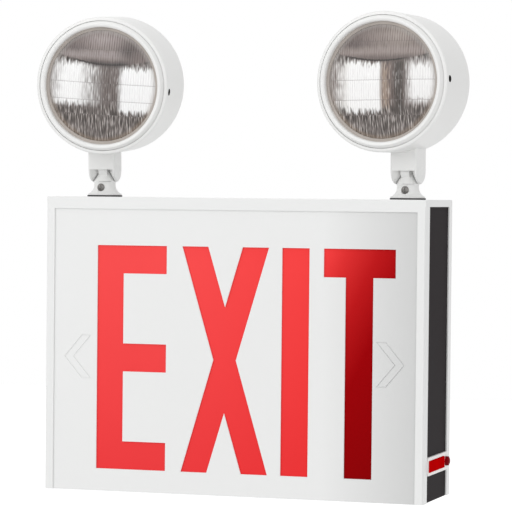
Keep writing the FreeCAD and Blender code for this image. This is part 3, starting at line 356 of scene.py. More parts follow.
def skinned(name, base, mottle, mottle_scale=10.0, grain=900.0, roughness=0.4, spread=0.1,
            relief=0.00005, strength=0.3, coat=0.0, specular=0.5, metallic=0.0, fade=None):
    """A painted or moulded finish. fade paints shade on it, darker along X: (start, end, depth)."""
    material, tree, shader, place = new_material(name)
    skin = placed_effect(tree, bpy.data.node_groups["Surface skin"], Vector=place, Colour=base,
                         Mottle_Colour=mottle, Mottle_Scale=mottle_scale, Grain_Scale=grain,
                         Roughness=roughness, Gloss_Spread=spread)
    shown = skin["Colour"]
    if fade:
        start, end, depth = fade
        split = add(tree, "ShaderNodeSeparateXYZ")
        join(tree, place, split.inputs[0])
        fallen = ramped(tree, split.outputs[0], start, end, last=depth)
        shown = blended(tree, fallen, shown, (0.0, 0.0, 0.0))
    join(tree, shown, shader.inputs["Base Color"])
    join(tree, skin["Roughness"], shader.inputs["Roughness"])
    bumped(tree, shader, skin["Height"], relief, strength)
    shader.inputs["Coat Weight"].default_value = coat
    shader.inputs["Coat Roughness"].default_value = 0.12
    shader.inputs["Specular IOR Level"].default_value = specular
    shader.inputs["Metallic"].default_value = metallic
    return material


def plated(name, base, dull, roughness=0.35, scratch=1500.0):
    """A plated metal, brushed and dull in places."""
    material, tree, shader, place = new_material(name)
    brushed = placed_effect(tree, bpy.data.node_groups["Brushed plating"], Vector=place,
                            Colour=base, Dull_Colour=dull, Scratch_Scale=scratch,
                            Roughness=roughness)
    join(tree, brushed["Colour"], shader.inputs["Base Color"])
    join(tree, brushed["Roughness"], shader.inputs["Roughness"])
    bumped(tree, shader, brushed["Height"], 0.00003, 0.4)
    shader.inputs["Metallic"].default_value = 1.0
    return material


def tint(value, factor):
    """A colour made darker or lighter."""
    return (*(min(1.0, part * factor) for part in value[:3]), 1.0)


def dress(material, *nodes):
    """Give CAD nodes a material. Their meshes stay as they are."""
    for name in nodes:
        piece = frame["nodes"][name]
        if not piece.material_slots:
            piece.data.materials.append(material)
        for slot in piece.material_slots:
            slot.material = material


def both(*names):
    """The names of a piece in both lamp heads."""
    return [side + "_" + name for side in SIDES for name in names]


def corners(name):
    """The places of a CAD node's vertices, one row each."""
    return numpy.array([vertex.co for vertex in frame["nodes"][name].data.vertices])


def paint_hole_shade(material, side):
    """Paint shade into the two screw holes of a lamp's ring, and round them, in a finish."""
    points = corners(side + "_ring_screws")
    middle = points.mean(0)
    along = numpy.linalg.svd(points - middle, full_matrices=False)[2][0]
    head = numpy.linalg.norm(numpy.cross(points - middle, along), axis=1).max()
    reach = numpy.abs((points - middle) @ along)
    tree = material.node_tree
    shader = tree.nodes["Principled BSDF"]
    away = add(tree, "ShaderNodeVectorMath", operation="SUBTRACT")
    join(tree, add(tree, "ShaderNodeTexCoord").outputs["Object"], away.inputs[0])
    away.inputs[1].default_value = middle
    crossed = add(tree, "ShaderNodeVectorMath", operation="CROSS_PRODUCT")
    join(tree, away.outputs[0], crossed.inputs[0])
    crossed.inputs[1].default_value = along
    aside = add(tree, "ShaderNodeVectorMath", operation="LENGTH")
    join(tree, crossed.outputs[0], aside.inputs[0])
    far = add(tree, "ShaderNodeVectorMath", operation="LENGTH")
    join(tree, away.outputs[0], far.inputs[0])
    within = maths(tree, "LESS_THAN", aside.outputs["Value"], float(head) * HOLE_SPREAD)
    outside = maths(tree, "GREATER_THAN", far.outputs["Value"], float(reach.min()) * HOLE_NEAR)
    close = maths(tree, "LESS_THAN", far.outputs["Value"], float(reach.max()) * HOLE_FAR)
    hole = maths(tree, "MULTIPLY", maths(tree, "MULTIPLY", within, outside), close)
    shown = shader.inputs["Base Color"].links[0].from_socket
    join(tree, blended(tree, hole, shown, HOLE_SHADE), shader.inputs["Base Color"])


# ------------------------------------------------------------------ finishes

class EXITLIGHT_OT_effects(Operator):
    """Build the shared shader effects"""
    bl_idname = "exit_light.effects"
    bl_label = "Shared Effects"

    def execute(self, context):
        skin_effect()
        brushed_effect()
        window_effect()
        streak_effect()
        return {"FINISHED"}


class EXITLIGHT_OT_enamel(Operator):
    """Paint the cabinet, its frame and its dark ends"""
    bl_idname = "exit_light.enamel"
    bl_label = "Cabinet Enamel"

    def execute(self, context):
        colours = context.scene.exit_light_colours
        sprayed = {"mottle_scale": 6.0, "grain": 700.0, "spread": 0.08, "relief": 0.00004,
                   "strength": 0.25}
        aged = tint(colours.enamel, 0.97)
        white = skinned("white_enamel", colours.enamel, aged, roughness=0.34, coat=0.15, **sprayed)
        dress(white, "top_cover", "frame_left", "frame_right", "frame_top", "back_pan")
        # The face gets painted shade, darker along X.
        face = skinned("face_enamel", colours.enamel, aged, roughness=0.4, fade=FACE_PAINTED_SHADE,
                       **sprayed)
        dress(face, "stencil_face")
        black = skinned("black_enamel", colours.end_enamel, tint(colours.end_enamel, 1.8),
                        mottle_scale=9.0, grain=1100.0, roughness=0.5, spread=0.14, relief=0.00006,
                        strength=0.4, specular=0.012)
        dress(black, "end_panel_left", "end_panel_right", "bottom_panel")
        inside = skinned("chamber_white", (0.85, 0.85, 0.83, 1.0), (0.78, 0.78, 0.76, 1.0),
                         roughness=0.7)
        dress(inside, "light_baffle")
        return {"FINISHED"}


class EXITLIGHT_OT_letters(Operator):
    """Colour the red panel that shows through the letters, with painted shade across and down it"""
    bl_idname = "exit_light.letters"
    bl_label = "Red Panel"

    def execute(self, context):
        colours = context.scene.exit_light_colours
        material, tree, shader, place = new_material("red_diffuser")
        low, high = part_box("lens_panel")
        split = add(tree, "ShaderNodeSeparateXYZ")
        join(tree, place, split.inputs[0])
        across = ramped(tree, split.outputs[0], low.x, high.x)
        fall = ramped(tree, split.outputs[2], high.z - SHADE_TOP, low.z + SHADE_FOOT,
                      last=SHADE_SHIFT)
        past = maths(tree, "SUBTRACT", across, LAST_LETTER)
        beyond = maths(tree, "MULTIPLY", past, LAST_LETTER_ONSET, clamp=True)
        shift = maths(tree, "MULTIPLY", fall, beyond)
        ramp = add(tree, "ShaderNodeValToRGB")
        stops = ramp.color_ramp
        shade = colours.letter_shade
        stops.elements[0].position = 0.25
        stops.elements[0].color = colours.letter_red
        stops.elements[1].position = 0.98
        stops.elements[1].color = tint(shade, 0.72)
        for position, value in (*SHADE_STOPS, (0.76, shade)):
            stops.elements.new(position).color = value
        reach = maths(tree, "MULTIPLY", maths(tree, "ADD", across, shift), SHADE_REACH)
        join(tree, reach, ramp.inputs[0])
        # Painted shade: the red darkens from a little below the panel's top down to its foot.
        lower = ramped(tree, split.outputs[2], low.z + SHADE_FOOT, high.z - DEEPEN_TOP,
                       first=DEEPEN_SHARE, last=0.0)
        deep = blended(tree, lower, ramp.outputs[0], FOOT_SHADE_COLOUR, "MULTIPLY")
        skin = placed_effect(tree, bpy.data.node_groups["Surface skin"], Vector=place,
                             Colour=(1, 1, 1, 1), Mottle_Colour=(0.95, 0.93, 0.93, 1.0),
                             Mottle_Scale=14.0, Grain_Scale=1600.0, Roughness=0.45,
                             Gloss_Spread=0.1)
        join(tree, blended(tree, 1.0, deep, skin["Colour"], "MULTIPLY"),
             shader.inputs["Base Color"])
        join(tree, skin["Roughness"], shader.inputs["Roughness"])
        bumped(tree, shader, skin["Height"], 0.00004, 0.3)
        shader.inputs["Specular IOR Level"].default_value = 0.02
        dress(material, "lens_panel")
        return {"FINISHED"}


class EXITLIGHT_OT_switch(Operator):
    """Finish the test switch and its pilot light"""
    bl_idname = "exit_light.switch"
    bl_label = "Test Switch"

    def execute(self, context):
        colours = context.scene.exit_light_colours
        bezel = skinned("switch_white", (0.86, 0.84, 0.83, 1.0), (0.82, 0.78, 0.77, 1.0),
                        mottle_scale=60.0, grain=1800.0, roughness=0.28, spread=0.08, coat=0.3)
        dress(bezel, "switch_bezel")
        window = skinned("pilot_red", colours.pilot_red, tint(colours.pilot_red, 0.7),
                         mottle_scale=70.0, grain=900.0, roughness=0.2, spread=0.05, specular=0.0)
        dress(window, "pilot_lens")
        button = skinned("button_red", colours.button_red, tint(colours.button_red, 0.7),
                         mottle_scale=90.0, grain=1500.0, roughness=0.32, spread=0.1, specular=0.05)
        dress(button, "test_button")
        return {"FINISHED"}


class EXITLIGHT_OT_heads(Operator):
    """Finish the lamp heads, their swivels and seals"""
    bl_idname = "exit_light.heads"
    bl_label = "Lamp Heads"

    def execute(self, context):
        colours = context.scene.exit_light_colours
        plastic = skinned("head_white", colours.head_white, tint(colours.head_white, 0.97),
                          mottle_scale=14.0, grain=1300.0, roughness=0.38, spread=0.1,
                          relief=0.00003, strength=0.25, coat=0.1)
        # Painted shade in and round each ring screw hole.
        for side in SIDES:
            paint_hole_shade(plastic, side)
        dress(plastic, *both("lamp_shell", "retaining_ring", "yoke", "swivel", "base_cup",
                             "pivot_pin"))
        seal = skinned("tan_gasket", colours.seal_tan, tint(colours.seal_tan, 0.75),
                       mottle_scale=80.0, grain=1500.0, roughness=0.6)
        dress(seal, *both("lamp_gasket"))
        rubber = skinned("black_rubber", (0.012, 0.012, 0.013, 1.0), (0.03, 0.03, 0.03, 1.0),
                         mottle_scale=90.0, grain=1800.0, roughness=0.65)
        dress(rubber, *both("base_gasket"))
        return {"FINISHED"}


class EXITLIGHT_OT_hardware(Operator):
    """Finish the screws, nuts and the battery strap"""
    bl_idname = "exit_light.hardware"
    bl_label = "Hardware"

    def execute(self, context):
        colours = context.scene.exit_light_colours
        zinc = plated("zinc_steel", colours.zinc, tint(colours.zinc, 0.45), roughness=0.42)
        dress(zinc, "battery_strap", *both("clamp_screw", "base_locknut", "yoke_screws"))
        blackened = skinned("blackened_screw", (0.008, 0.008, 0.008, 1.0),
                            (0.014, 0.013, 0.012, 1.0), mottle_scale=300.0, roughness=0.6,
                            specular=0.1)
        dress(blackened, "face_screws", *both("ring_screws"))
        return {"FINISHED"}


class EXITLIGHT_OT_works(Operator):
    """Finish what is inside the cabinet and the lamps"""
    bl_idname = "exit_light.works"
    bl_label = "Inner Works"

    def execute(self, context):
        board = skinned("circuit_board", (0.02, 0.13, 0.05, 1.0), (0.05, 0.24, 0.09, 1.0),
                        mottle_scale=350.0, grain=2500.0, roughness=0.3, coat=0.4)
        dress(board, "charger_board", "pilot_board", "led_strip_upper", "led_strip_lower")
        case = skinned("battery_case", (0.035, 0.036, 0.04, 1.0), (0.06, 0.06, 0.065, 1.0),
                       mottle_scale=40.0, grain=1400.0, roughness=0.55, strength=0.6)
        dress(case, "battery")
        black = skinned("black_plastic", (0.02, 0.02, 0.02, 1.0), (0.04, 0.04, 0.04, 1.0),
                        mottle_scale=60.0, grain=1500.0, roughness=0.5)
        dress(black, "test_switch", "board_parts", "terminal_block")
        core = skinned("transformer_core", (0.10, 0.09, 0.085, 1.0), (0.2, 0.14, 0.1, 1.0),
                       mottle_scale=160.0, grain=1200.0, roughness=0.5, metallic=0.3)
        dress(core, "transformer")
        nylon = skinned("nylon_white", (0.74, 0.73, 0.68, 1.0), (0.66, 0.65, 0.6, 1.0),
                        roughness=0.5)
        dress(nylon, "board_standoffs")
        chip = skinned("led_lens", (0.85, 0.7, 0.4, 1.0), (0.9, 0.8, 0.55, 1.0), mottle_scale=500.0,
                       roughness=0.2, coat=0.5)
        dress(chip, "led_chips")
        capsule = skinned("lamp_capsule", (0.75, 0.74, 0.7, 1.0), (0.6, 0.59, 0.56, 1.0),
                          mottle_scale=120.0, roughness=0.3)
        dress(capsule, *both("lamp_bulb"))
        silver = plated("lamp_mirror", (0.8, 0.79, 0.78, 1.0), (0.62, 0.6, 0.58, 1.0),
                        roughness=0.12, scratch=900.0)
        dress(silver, *both("lamp_reflector"))
        return {"FINISHED"}


# ------------------------------------------------------------------ lamp glasses

def lamp_place(side):
    """Where a lamp points: a matrix with Z out of the glass, X along its tilt hinge and Y up it."""
    points = corners(side + "_lamp_gasket")
    centre = points.mean(0)
    outward = Vector(numpy.linalg.svd(points - centre, full_matrices=False)[2][2])
    if outward.y > 0:
        outward = -outward
    hinge = next(joint for joint in frame["joints"] if joint["name"] == side + "_tilt")
    across = Vector(hinge["axis"])
    across = (across - outward * across.dot(outward)).normalized()
    upward = outward.cross(across)
    turn = Matrix((across, upward, outward)).transposed().to_4x4()
    return Matrix.Translation(Vector(centre)) @ turn


# The reflection painted on each lamp glass, in millimetres from the middle of its glass. roll turns
# the flutes, in degrees. seams are the level joints between blocks of flutes. A patch is (across,
# up, half width, half height, fade across, fade up, ragged, colour): ragged is how far its level
# edges follow the flutes. The brow is the band above the painted bright windows: the height and
# middle of its sagging edge, and its own patches. lip is the painted dark edge under it: (across,
# half width, half height, colour).
MIRRORED = {
    "left": {
        "roll": -3.6, "seams": (32.5, 2.2, -13.5, -26.5),
        "patches": (
            (4.0, 1.0, 60.0, 19.5, 3.0, 5.0, 5.0, (0.175, 0.145, 0.135)),
            (-29.0, 1.2, 20.0, 18.8, 26.0, 5.0, 7.0, (0.96, 0.96, 0.955)),
            (36.0, -3.0, 17.6, 20.5, 5.5, 5.0, 7.0, (0.96, 0.96, 0.96)),
        ),
        "brow": (19.0, 5.0),
        "brow_patches": (
            (-20.0, 28.0, 40.0, 3.6, 12.0, 4.0, 1.5, (0.345, 0.30, 0.29)),
            (0.0, 43.0, 16.0, 8.0, 34.0, 15.0, 0.0, (0.43, 0.375, 0.365)),
            (-27.0, 33.5, 9.0, 2.2, 14.0, 7.0, 0.0, (0.185, 0.155, 0.15)),
            (24.0, 33.0, 7.0, 5.5, 13.0, 12.0, 2.0, (0.095, 0.078, 0.074)),
        ),
        "lip": (6.0, 19.0, 2.2, (0.075, 0.062, 0.060)),
    },
    "right": {
        "roll": 0.5, "seams": (35.5, 1.2, -16.5, -30.0),
        "patches": (
            (4.0, -2.0, 60.0, 19.5, 3.0, 5.0, 5.0, (0.20, 0.155, 0.14)),
            (-26.0, -4.0, 15.0, 21.5, 20.0, 6.0, 7.0, (0.93, 0.92, 0.90)),
            (-14.5, -5.0, 16.0, 21.5, 4.0, 5.0, 8.0, (0.96, 0.955, 0.95)),
            (5.0, -5.0, 3.0, 19.0, 6.0, 9.0, 14.0, (0.40, 0.31, 0.25)),
            (18.0, -3.0, 5.0, 26.0, 6.0, 5.0, 2.0, (0.085, 0.070, 0.062)),
            (39.5, -1.0, 13.0, 17.5, 9.0, 9.0, 6.0, (0.93, 0.925, 0.92)),
        ),
        "brow": (18.0, 2.0),
        "brow_patches": (
            (2.0, 27.0, 44.0, 3.6, 12.0, 4.0, 1.5, (0.335, 0.285, 0.265)),
            (18.0, 41.0, 22.0, 9.0, 40.0, 16.0, 0.0, (0.40, 0.345, 0.315)),
            (-25.0, 32.5, 8.0, 2.6, 16.0, 8.0, 0.0, (0.135, 0.108, 0.102)),
        ),
        "lip": (4.0, 22.0, 2.0, (0.15, 0.12, 0.11)),
    },
}
# How far the brow's edge sags, per millimetre, and how far out the rim's painted reflection and
# its painted shade line begin.
BROW_SAG = 0.0037
RIM_START = 46.5
RIM_SHADE_START = 50.2

# How sharply and how strongly the seams, the rim's painted reflection and its painted shade line
# show.
SEAM_ONSET, SEAM_SHARE = 1.9, 0.5
RIM_ONSET, RIM_SHARE = 0.2, 0.7
RIM_SHADE_ONSET, RIM_SHADE_SHARE = 0.8, 0.6

# How far a ragged edge swings with the flutes, and how far it breaks up with the streaks.
RAGGED_SWING = 0.75
RAGGED_BREAK = 0.12

# The streaks' length in millimetres, and the power that darkens their dim parts.
STREAK_RUN = 9.0
STREAK_POWER = 1.4

# Painted glints, light strokes, begin at STROKE_FROM of a streak's brightness.
STROKE_FROM = 0.62
STROKE_ONSET = 1.5
STROKE_SHARE = 0.42

# The painted shade of a furrow is FURROW_LEAST deep and up to FURROW_COMB deeper, and bright
# glass hides it.
FURROW_COMB = 0.8
FURROW_LEAST = 0.3
FURROW_HIDDEN = 0.82

# Colours of the lamp glasses: the painted reflection and its painted glints, the painted shade in
# the furrows and outside the rim, and the dark seams.
DARK_REFLECTION = (0.060, 0.048, 0.042)
SILVER_REFLECTION = (0.36, 0.315, 0.295)
BROW = (0.21, 0.17, 0.16)
SEAM = (0.16, 0.14, 0.135)
EDGE = (0.035, 0.028, 0.026)
BROW_FURROW_SHADE = (0.46, 0.42, 0.41)
FURROW_SHADE = (0.17, 0.14, 0.13)
GLINT_COLOUR = (0.86, 0.83, 0.82)
RIM_REFLECTED_LIGHT = (0.50, 0.475, 0.455)
RIM_REFLECTED_TAN = (0.33, 0.25, 0.185)
RIM_SHADE_COLOUR = (0.05, 0.042, 0.038)


def laid_patch(tree, mixed, across, up, comb, streak, patch):
    """Lay one soft patch of colour over the painted reflection, broken up by the flutes."""
    across_mm, up_mm, half_width, half_height, fade_across, fade_up, ragged, value = patch
    swing = maths(tree, "MULTIPLY", maths(tree, "SUBTRACT", comb, 0.5), RAGGED_SWING * ragged)
    mask = placed_effect(tree, bpy.data.node_groups["Soft window"], Across=across,
                         Up=maths(tree, "ADD", up, swing), Centre_Across=across_mm, Centre_Up=up_mm,
                         Half_Width=half_width, Half_Height=half_height, Fade_Across=fade_across,
                         Fade_Up=fade_up)["Mask"]
    broken = maths(tree, "MULTIPLY", maths(tree, "SUBTRACT", streak, 0.5), RAGGED_BREAK * ragged)
    soft = maths(tree, "MULTIPLY", maths(tree, "SUBTRACT", 1.0, mask), mask)
    torn = maths(tree, "MULTIPLY", broken, maths(tree, "MULTIPLY", soft, 2.0))
    return blended(tree, maths(tree, "ADD", mask, torn, clamp=True), mixed, value)


def glass_material(side, sizes):
    """Lamp glass with a painted reflection: bright windows, a dark gap and brow, streaked by its
    flutes.
    """
    picture = MIRRORED[side]
    material, tree, shader, place = new_material(side + "_lamp_glass")
    local = add(tree, "ShaderNodeMapping", vector_type="TEXTURE")
    spot = lamp_place(side) @ Matrix.Rotation(math.radians(picture["roll"]), 4, "Z")
    local.inputs["Location"].default_value = spot.to_translation()
    local.inputs["Rotation"].default_value = spot.to_euler()
    local.inputs["Scale"].default_value = (MILLIMETRE, MILLIMETRE, MILLIMETRE)
    join(tree, place, local.inputs["Vector"])
    split = add(tree, "ShaderNodeSeparateXYZ")
    join(tree, local.outputs[0], split.inputs[0])
    across, up = split.outputs[0], split.outputs[1]
    block = 0.0
    for seam in picture["seams"]:
        block = maths(tree, "ADD", maths(tree, "GREATER_THAN", up, seam), block)
    streaks = placed_effect(tree, bpy.data.node_groups["Flute streaks"], Across=across, Up=up,
                            Block=block, Pitch=sizes.flute_pitch / MILLIMETRE, Run=STREAK_RUN)
    streak, line, comb = streaks["Streak"], streaks["Line"], streaks["Comb"]

    # Painted reflection: the streaked silver of the reflector, with the bright windows and dark gap
    # laid over it.
    mixed = blended(tree, maths(tree, "POWER", streak, STREAK_POWER), DARK_REFLECTION, SILVER_REFLECTION)
    for patch in picture["patches"]:
        mixed = laid_patch(tree, mixed, across, up, comb, streak, patch)

    # Painted glints as light strokes, and painted shade in the furrows between the flutes that is
    # fainter where the glass is bright.
    lit = maths(tree, "SUBTRACT", streak, STROKE_FROM)
    pale = maths(tree, "MULTIPLY", lit, STROKE_ONSET, clamp=True)
    mixed = blended(tree, maths(tree, "MULTIPLY", pale, STROKE_SHARE), mixed, GLINT_COLOUR, "SCREEN")
    depth = maths(tree, "ADD", maths(tree, "MULTIPLY", comb, FURROW_COMB), FURROW_LEAST)
    furrow = maths(tree, "MULTIPLY", line, depth, clamp=True)
    bright = add(tree, "ShaderNodeRGBToBW")
    join(tree, mixed, bright.inputs[0])
    hidden = maths(tree, "MULTIPLY", bright.outputs[0], FURROW_HIDDEN)
    dim = maths(tree, "SUBTRACT", 1.0, hidden, clamp=True)
    mixed = blended(tree, maths(tree, "MULTIPLY", furrow, dim), mixed, FURROW_SHADE, "MULTIPLY")

    # The brow of the painted reflection: a band with patches of its own above a sagging edge, and
    # the painted dark lip of that edge.
    height, middle = picture["brow"]
    aside = maths(tree, "ABSOLUTE", maths(tree, "SUBTRACT", across, middle))
    sag = maths(tree, "MULTIPLY", maths(tree, "POWER", aside, 2.0), BROW_SAG)
    flat = maths(tree, "SUBTRACT", up, sag)
    above = maths(tree, "SUBTRACT", flat, height)
    upper = BROW
    for patch in picture["brow_patches"]:
        upper = laid_patch(tree, upper, across, up, comb, streak, patch)
    upper = blended(tree, furrow, upper, BROW_FURROW_SHADE, "MULTIPLY")
    over_edge = maths(tree, "ADD", maths(tree, "MULTIPLY", above, 0.7), 0.5, clamp=True)
    mixed = blended(tree, over_edge, mixed, upper)
    lip_middle, lip_half, lip_height, lip_colour = picture["lip"]
    lip = (lip_middle, 0.6, lip_half, lip_height, 14.0, 3.0, 1.5, lip_colour)
    mixed = laid_patch(tree, mixed, across, above, comb, streak, lip)
    edge = (lip_middle - 8.0, 0.3, lip_half + 6.0, 0.7, 10.0, 0.8, 0.8, EDGE)
    mixed = laid_patch(tree, mixed, across, above, comb, streak, edge)

    # The level seams between blocks of flutes.
    for seam in picture["seams"]:
        near = maths(tree, "ABSOLUTE", maths(tree, "SUBTRACT", up, seam))
        off = maths(tree, "MULTIPLY", near, SEAM_ONSET)
        seam_line = maths(tree, "SUBTRACT", 1.0, off, clamp=True)
        mixed = blended(tree, maths(tree, "MULTIPLY", seam_line, SEAM_SHARE), mixed, SEAM)

    # The rim: a painted reflection, light above and tan below, with a painted shade line outside
    # it.
    squares = maths(tree, "ADD", maths(tree, "POWER", across, 2.0), maths(tree, "POWER", up, 2.0))
    out = maths(tree, "SQRT", squares)
    past_rim = maths(tree, "SUBTRACT", out, RIM_START)
    rim = maths(tree, "MULTIPLY", past_rim, RIM_ONSET, clamp=True)
    tan = blended(tree, maths(tree, "MULTIPLY", up, -0.03, clamp=True), RIM_REFLECTED_LIGHT, RIM_REFLECTED_TAN)
    mixed = blended(tree, maths(tree, "MULTIPLY", rim, RIM_SHARE), mixed, tan)
    past_shade = maths(tree, "SUBTRACT", out, RIM_SHADE_START)
    shade = maths(tree, "MULTIPLY", past_shade, RIM_SHADE_ONSET, clamp=True)
    mixed = blended(tree, maths(tree, "MULTIPLY", shade, RIM_SHADE_SHARE), mixed, RIM_SHADE_COLOUR)
    join(tree, mixed, shader.inputs["Base Color"])
    rough = maths(tree, "ADD", 0.16, maths(tree, "MULTIPLY", streak, 0.14))
    join(tree, rough, shader.inputs["Roughness"])
    bumped(tree, shader, comb, 0.0003, 0.35)
    shader.inputs["Specular IOR Level"].default_value = 0.35
    shader.inputs["Coat Weight"].default_value = 0.25
    shader.inputs["Coat Roughness"].default_value = 0.08
    return material


def select_points(piece, wanted):
    """Select the vertices whose number is wanted, in edit mode."""
    bpy.ops.object.mode_set(mode="EDIT")
    bpy.ops.mesh.select_mode(type="VERT")
    bpy.ops.mesh.select_all(action="DESELECT")
    bpy.ops.object.mode_set(mode="OBJECT")
    for number in wanted:
        piece.data.vertices[number].select = True
    bpy.ops.object.mode_set(mode="EDIT")


def apply_modifier(piece, kind, **settings):
    """Add a modifier to the active piece and apply it."""
    modifier = piece.modifiers.new(kind.title(), kind)
    for name, value in settings.items():
        setattr(modifier, name, value)
    bpy.ops.object.modifier_apply(modifier=modifier.name)


def alone(piece):
    """Make a piece the only selected one, and the active one."""
    bpy.ops.object.select_all(action="DESELECT")
    piece.select_set(True)
    bpy.context.view_layer.objects.active = piece


class EXITLIGHT_OT_lamp_glasses(Operator):
    """Press the fluted front glass of each lamp"""
    bl_idname = "exit_light.lamp_glasses"
    bl_label = "Lamp Glasses"

    def execute(self, context):
        sizes = context.scene.exit_light_sizes
        for side in SIDES:
            glass = self.press(side, sizes)
            glass.data.materials.append(glass_material(side, sizes))
            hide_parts(side + "_lamp_lens")
            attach(glass, side + "_head")
        return {"FINISHED"}

    def press(self, side, sizes):
        """A grid on the lamp's dome, its columns raised as flutes and its rows sunk as seams."""
        lens = frame["nodes"][side + "_lamp_lens"]
        picture = MIRRORED[side]
        place = lamp_place(side) @ Matrix.Rotation(math.radians(picture["roll"]), 4, "Z")
        outward = place.to_3x3().col[2].normalized()
        half = math.ceil(sizes.glass_radius / sizes.flute_pitch) * sizes.flute_pitch
        columns = round(2 * half / sizes.flute_pitch) * COLUMNS_PER_FLUTE
        start = place.to_translation() + outward * GRID_LIFT
        bpy.ops.object.select_all(action="DESELECT")
        bpy.ops.mesh.primitive_grid_add(x_subdivisions=columns, y_subdivisions=GRID_ROWS,
                                        size=2 * half, location=start, rotation=place.to_euler())
        glass = bpy.context.object
        glass.name = side + "_fluted_glass"
        alone(glass)
        apply_modifier(glass, "SHRINKWRAP", target=lens, wrap_method="PROJECT", use_project_z=True,
                       use_positive_direction=False, use_negative_direction=True)
        flat = [(vertex.co.x, vertex.co.y) for vertex in glass.data.vertices]
        bpy.ops.object.transform_apply(location=True, rotation=True, scale=True)
        column = [round((x + half) / sizes.flute_pitch * COLUMNS_PER_FLUTE) for x, y in flat]
        raised = [number for number, at in enumerate(column) if at % COLUMNS_PER_FLUTE == 2]
        shoulders = [number for number, at in enumerate(column) if at % 2 == 1]
        select_points(glass, raised)
        bpy.ops.transform.translate(value=outward * sizes.flute_depth)
        select_points(glass, shoulders)
        bpy.ops.transform.translate(value=outward * sizes.flute_depth * SHOULDER_SHARE)
        step = 2 * half / GRID_ROWS
        sunk = [number for number, (x, y) in enumerate(flat)
                if min(abs(y - seam * MILLIMETRE) for seam in picture["seams"]) < step / 2]
        select_points(glass, sunk)
        bpy.ops.transform.translate(value=outward * -sizes.seam_depth)
        outside = [number for number, (x, y) in enumerate(flat)
                   if math.hypot(x, y) > sizes.glass_radius]
        select_points(glass, outside)
        bpy.ops.mesh.delete(type="VERT")
        bpy.ops.object.mode_set(mode="OBJECT")
        apply_modifier(glass, "SOLIDIFY", thickness=sizes.glass_thickness, offset=-1.0)
        bpy.ops.object.shade_smooth_by_angle(angle=math.radians(40))
        return glass


# ------------------------------------------------------------------ stage

def see_white(tree):
    """One for the camera, mirrors and glass, and nought for light that falls on the object."""
    path = add(tree, "ShaderNodeLightPath")
    seen = maths(tree, "MAXIMUM", path.outputs["Is Camera Ray"], path.outputs["Is Glossy Ray"])
    return maths(tree, "MAXIMUM", seen, path.outputs["Is Transmission Ray"])


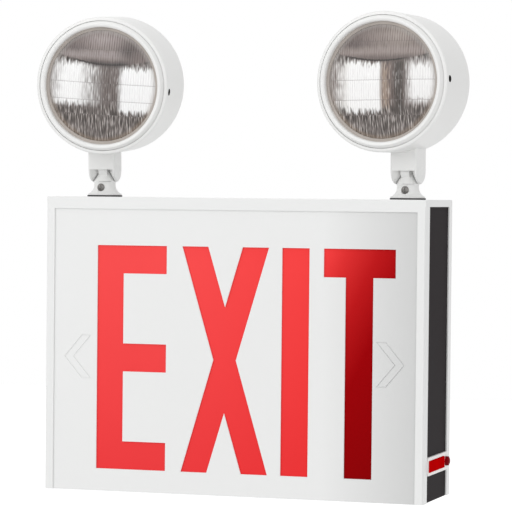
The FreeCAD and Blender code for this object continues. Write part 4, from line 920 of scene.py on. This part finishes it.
class EXITLIGHT_OT_stage(Operator):
    """Set the floor, the lights, the world and the camera"""
    bl_idname = "exit_light.stage"
    bl_label = "Stage"

    def execute(self, context):
        sizes = context.scene.exit_light_sizes
        self.floor(sizes)
        self.world(context.scene)
        low, high = CAD_BOX
        target = (low + high) / 2
        for name, place, size, power in LAMPS:
            self.lamp(name, Vector(place), target, size, power)
        self.camera(context.scene)
        context.scene.view_settings.view_transform = "Standard"
        return {"FINISHED"}

    def floor(self, sizes):
        low = CAD_BOX[0]
        bpy.ops.object.select_all(action="DESELECT")
        bpy.ops.mesh.primitive_plane_add(size=sizes.floor_size,
                                         location=(0.0, 0.0, low.z - sizes.floor_drop))
        floor = bpy.context.object
        floor.name = "floor"
        material, tree, shader, place = new_material("pale_floor")
        skin = placed_effect(tree, bpy.data.node_groups["Surface skin"], Vector=place,
                             Colour=(0.9, 0.9, 0.9, 1.0), Mottle_Colour=(0.86, 0.86, 0.86, 1.0),
                             Mottle_Scale=3.0, Grain_Scale=200.0, Roughness=0.8, Gloss_Spread=0.1)
        join(tree, skin["Colour"], shader.inputs["Base Color"])
        join(tree, skin["Roughness"], shader.inputs["Roughness"])
        seen = see_white(tree)
        join(tree, maths(tree, "MULTIPLY", seen, FLOOR_SEEN), shader.inputs["Emission Strength"])
        shader.inputs["Emission Color"].default_value = (1.0, 1.0, 1.0, 1.0)
        floor.data.materials.append(material)

    def world(self, scene):
        world = bpy.data.worlds.new("studio")
        scene.world = world
        world.use_nodes = True
        tree = world.node_tree
        background = tree.nodes["Background"]
        background.inputs["Color"].default_value = (1.0, 1.0, 1.0, 1.0)
        seen = see_white(tree)
        gain = maths(tree, "MULTIPLY", seen, WORLD_SEEN)
        join(tree, maths(tree, "ADD", gain, WORLD_LIGHT), background.inputs["Strength"])

    def lamp(self, name, place, target, size, power):
        bpy.ops.object.light_add(type="AREA", location=place)
        lamp = bpy.context.object
        lamp.name = name
        lamp.data.shape = "SQUARE"
        lamp.data.size = size
        lamp.data.energy = power
        lamp.rotation_euler = (target - place).to_track_quat("-Z", "Y").to_euler()

    def camera(self, scene):
        bpy.ops.object.camera_add(location=CAMERA_PLACE,
                                  rotation=[math.radians(turn) for turn in CAMERA_TURN])
        camera = bpy.context.object
        camera.name = "camera"
        camera.data.sensor_width = 36.0
        camera.data.lens = CAMERA_LENS
        camera.data.clip_start = 0.1
        camera.data.clip_end = 100.0
        scene.camera = camera


# ------------------------------------------------------------------ add-on

OPERATORS = (EXITLIGHT_OT_effects, EXITLIGHT_OT_enamel, EXITLIGHT_OT_letters, EXITLIGHT_OT_switch,
             EXITLIGHT_OT_heads, EXITLIGHT_OT_hardware, EXITLIGHT_OT_works,
             EXITLIGHT_OT_lamp_glasses, EXITLIGHT_OT_stage)


class EXITLIGHT_PT_panel(Panel):
    """Steps, sizes and colours of the exit light"""
    bl_idname = "EXITLIGHT_PT_panel"
    bl_label = "Exit Light"
    bl_space_type = "VIEW_3D"
    bl_region_type = "UI"
    bl_category = "Exit Light"

    def draw(self, context):
        layout = self.layout
        for operator in OPERATORS:
            layout.operator(operator.bl_idname)
        for settings in (context.scene.exit_light_sizes, context.scene.exit_light_colours):
            for name in settings.__annotations__:
                layout.prop(settings, name)


CLASSES = (ExitLightSizes, ExitLightColours, *OPERATORS, EXITLIGHT_PT_panel)


def register():
    for made in CLASSES:
        bpy.utils.register_class(made)
    bpy.types.Scene.exit_light_sizes = PointerProperty(type=ExitLightSizes)
    bpy.types.Scene.exit_light_colours = PointerProperty(type=ExitLightColours)


def unregister():
    del bpy.types.Scene.exit_light_colours
    del bpy.types.Scene.exit_light_sizes
    for made in reversed(CLASSES):
        bpy.utils.unregister_class(made)


def main():
    register()
    for operator in OPERATORS:
        family, name = operator.bl_idname.split(".")
        getattr(getattr(bpy.ops, family), name)()


if __name__ == "__main__":
    main()
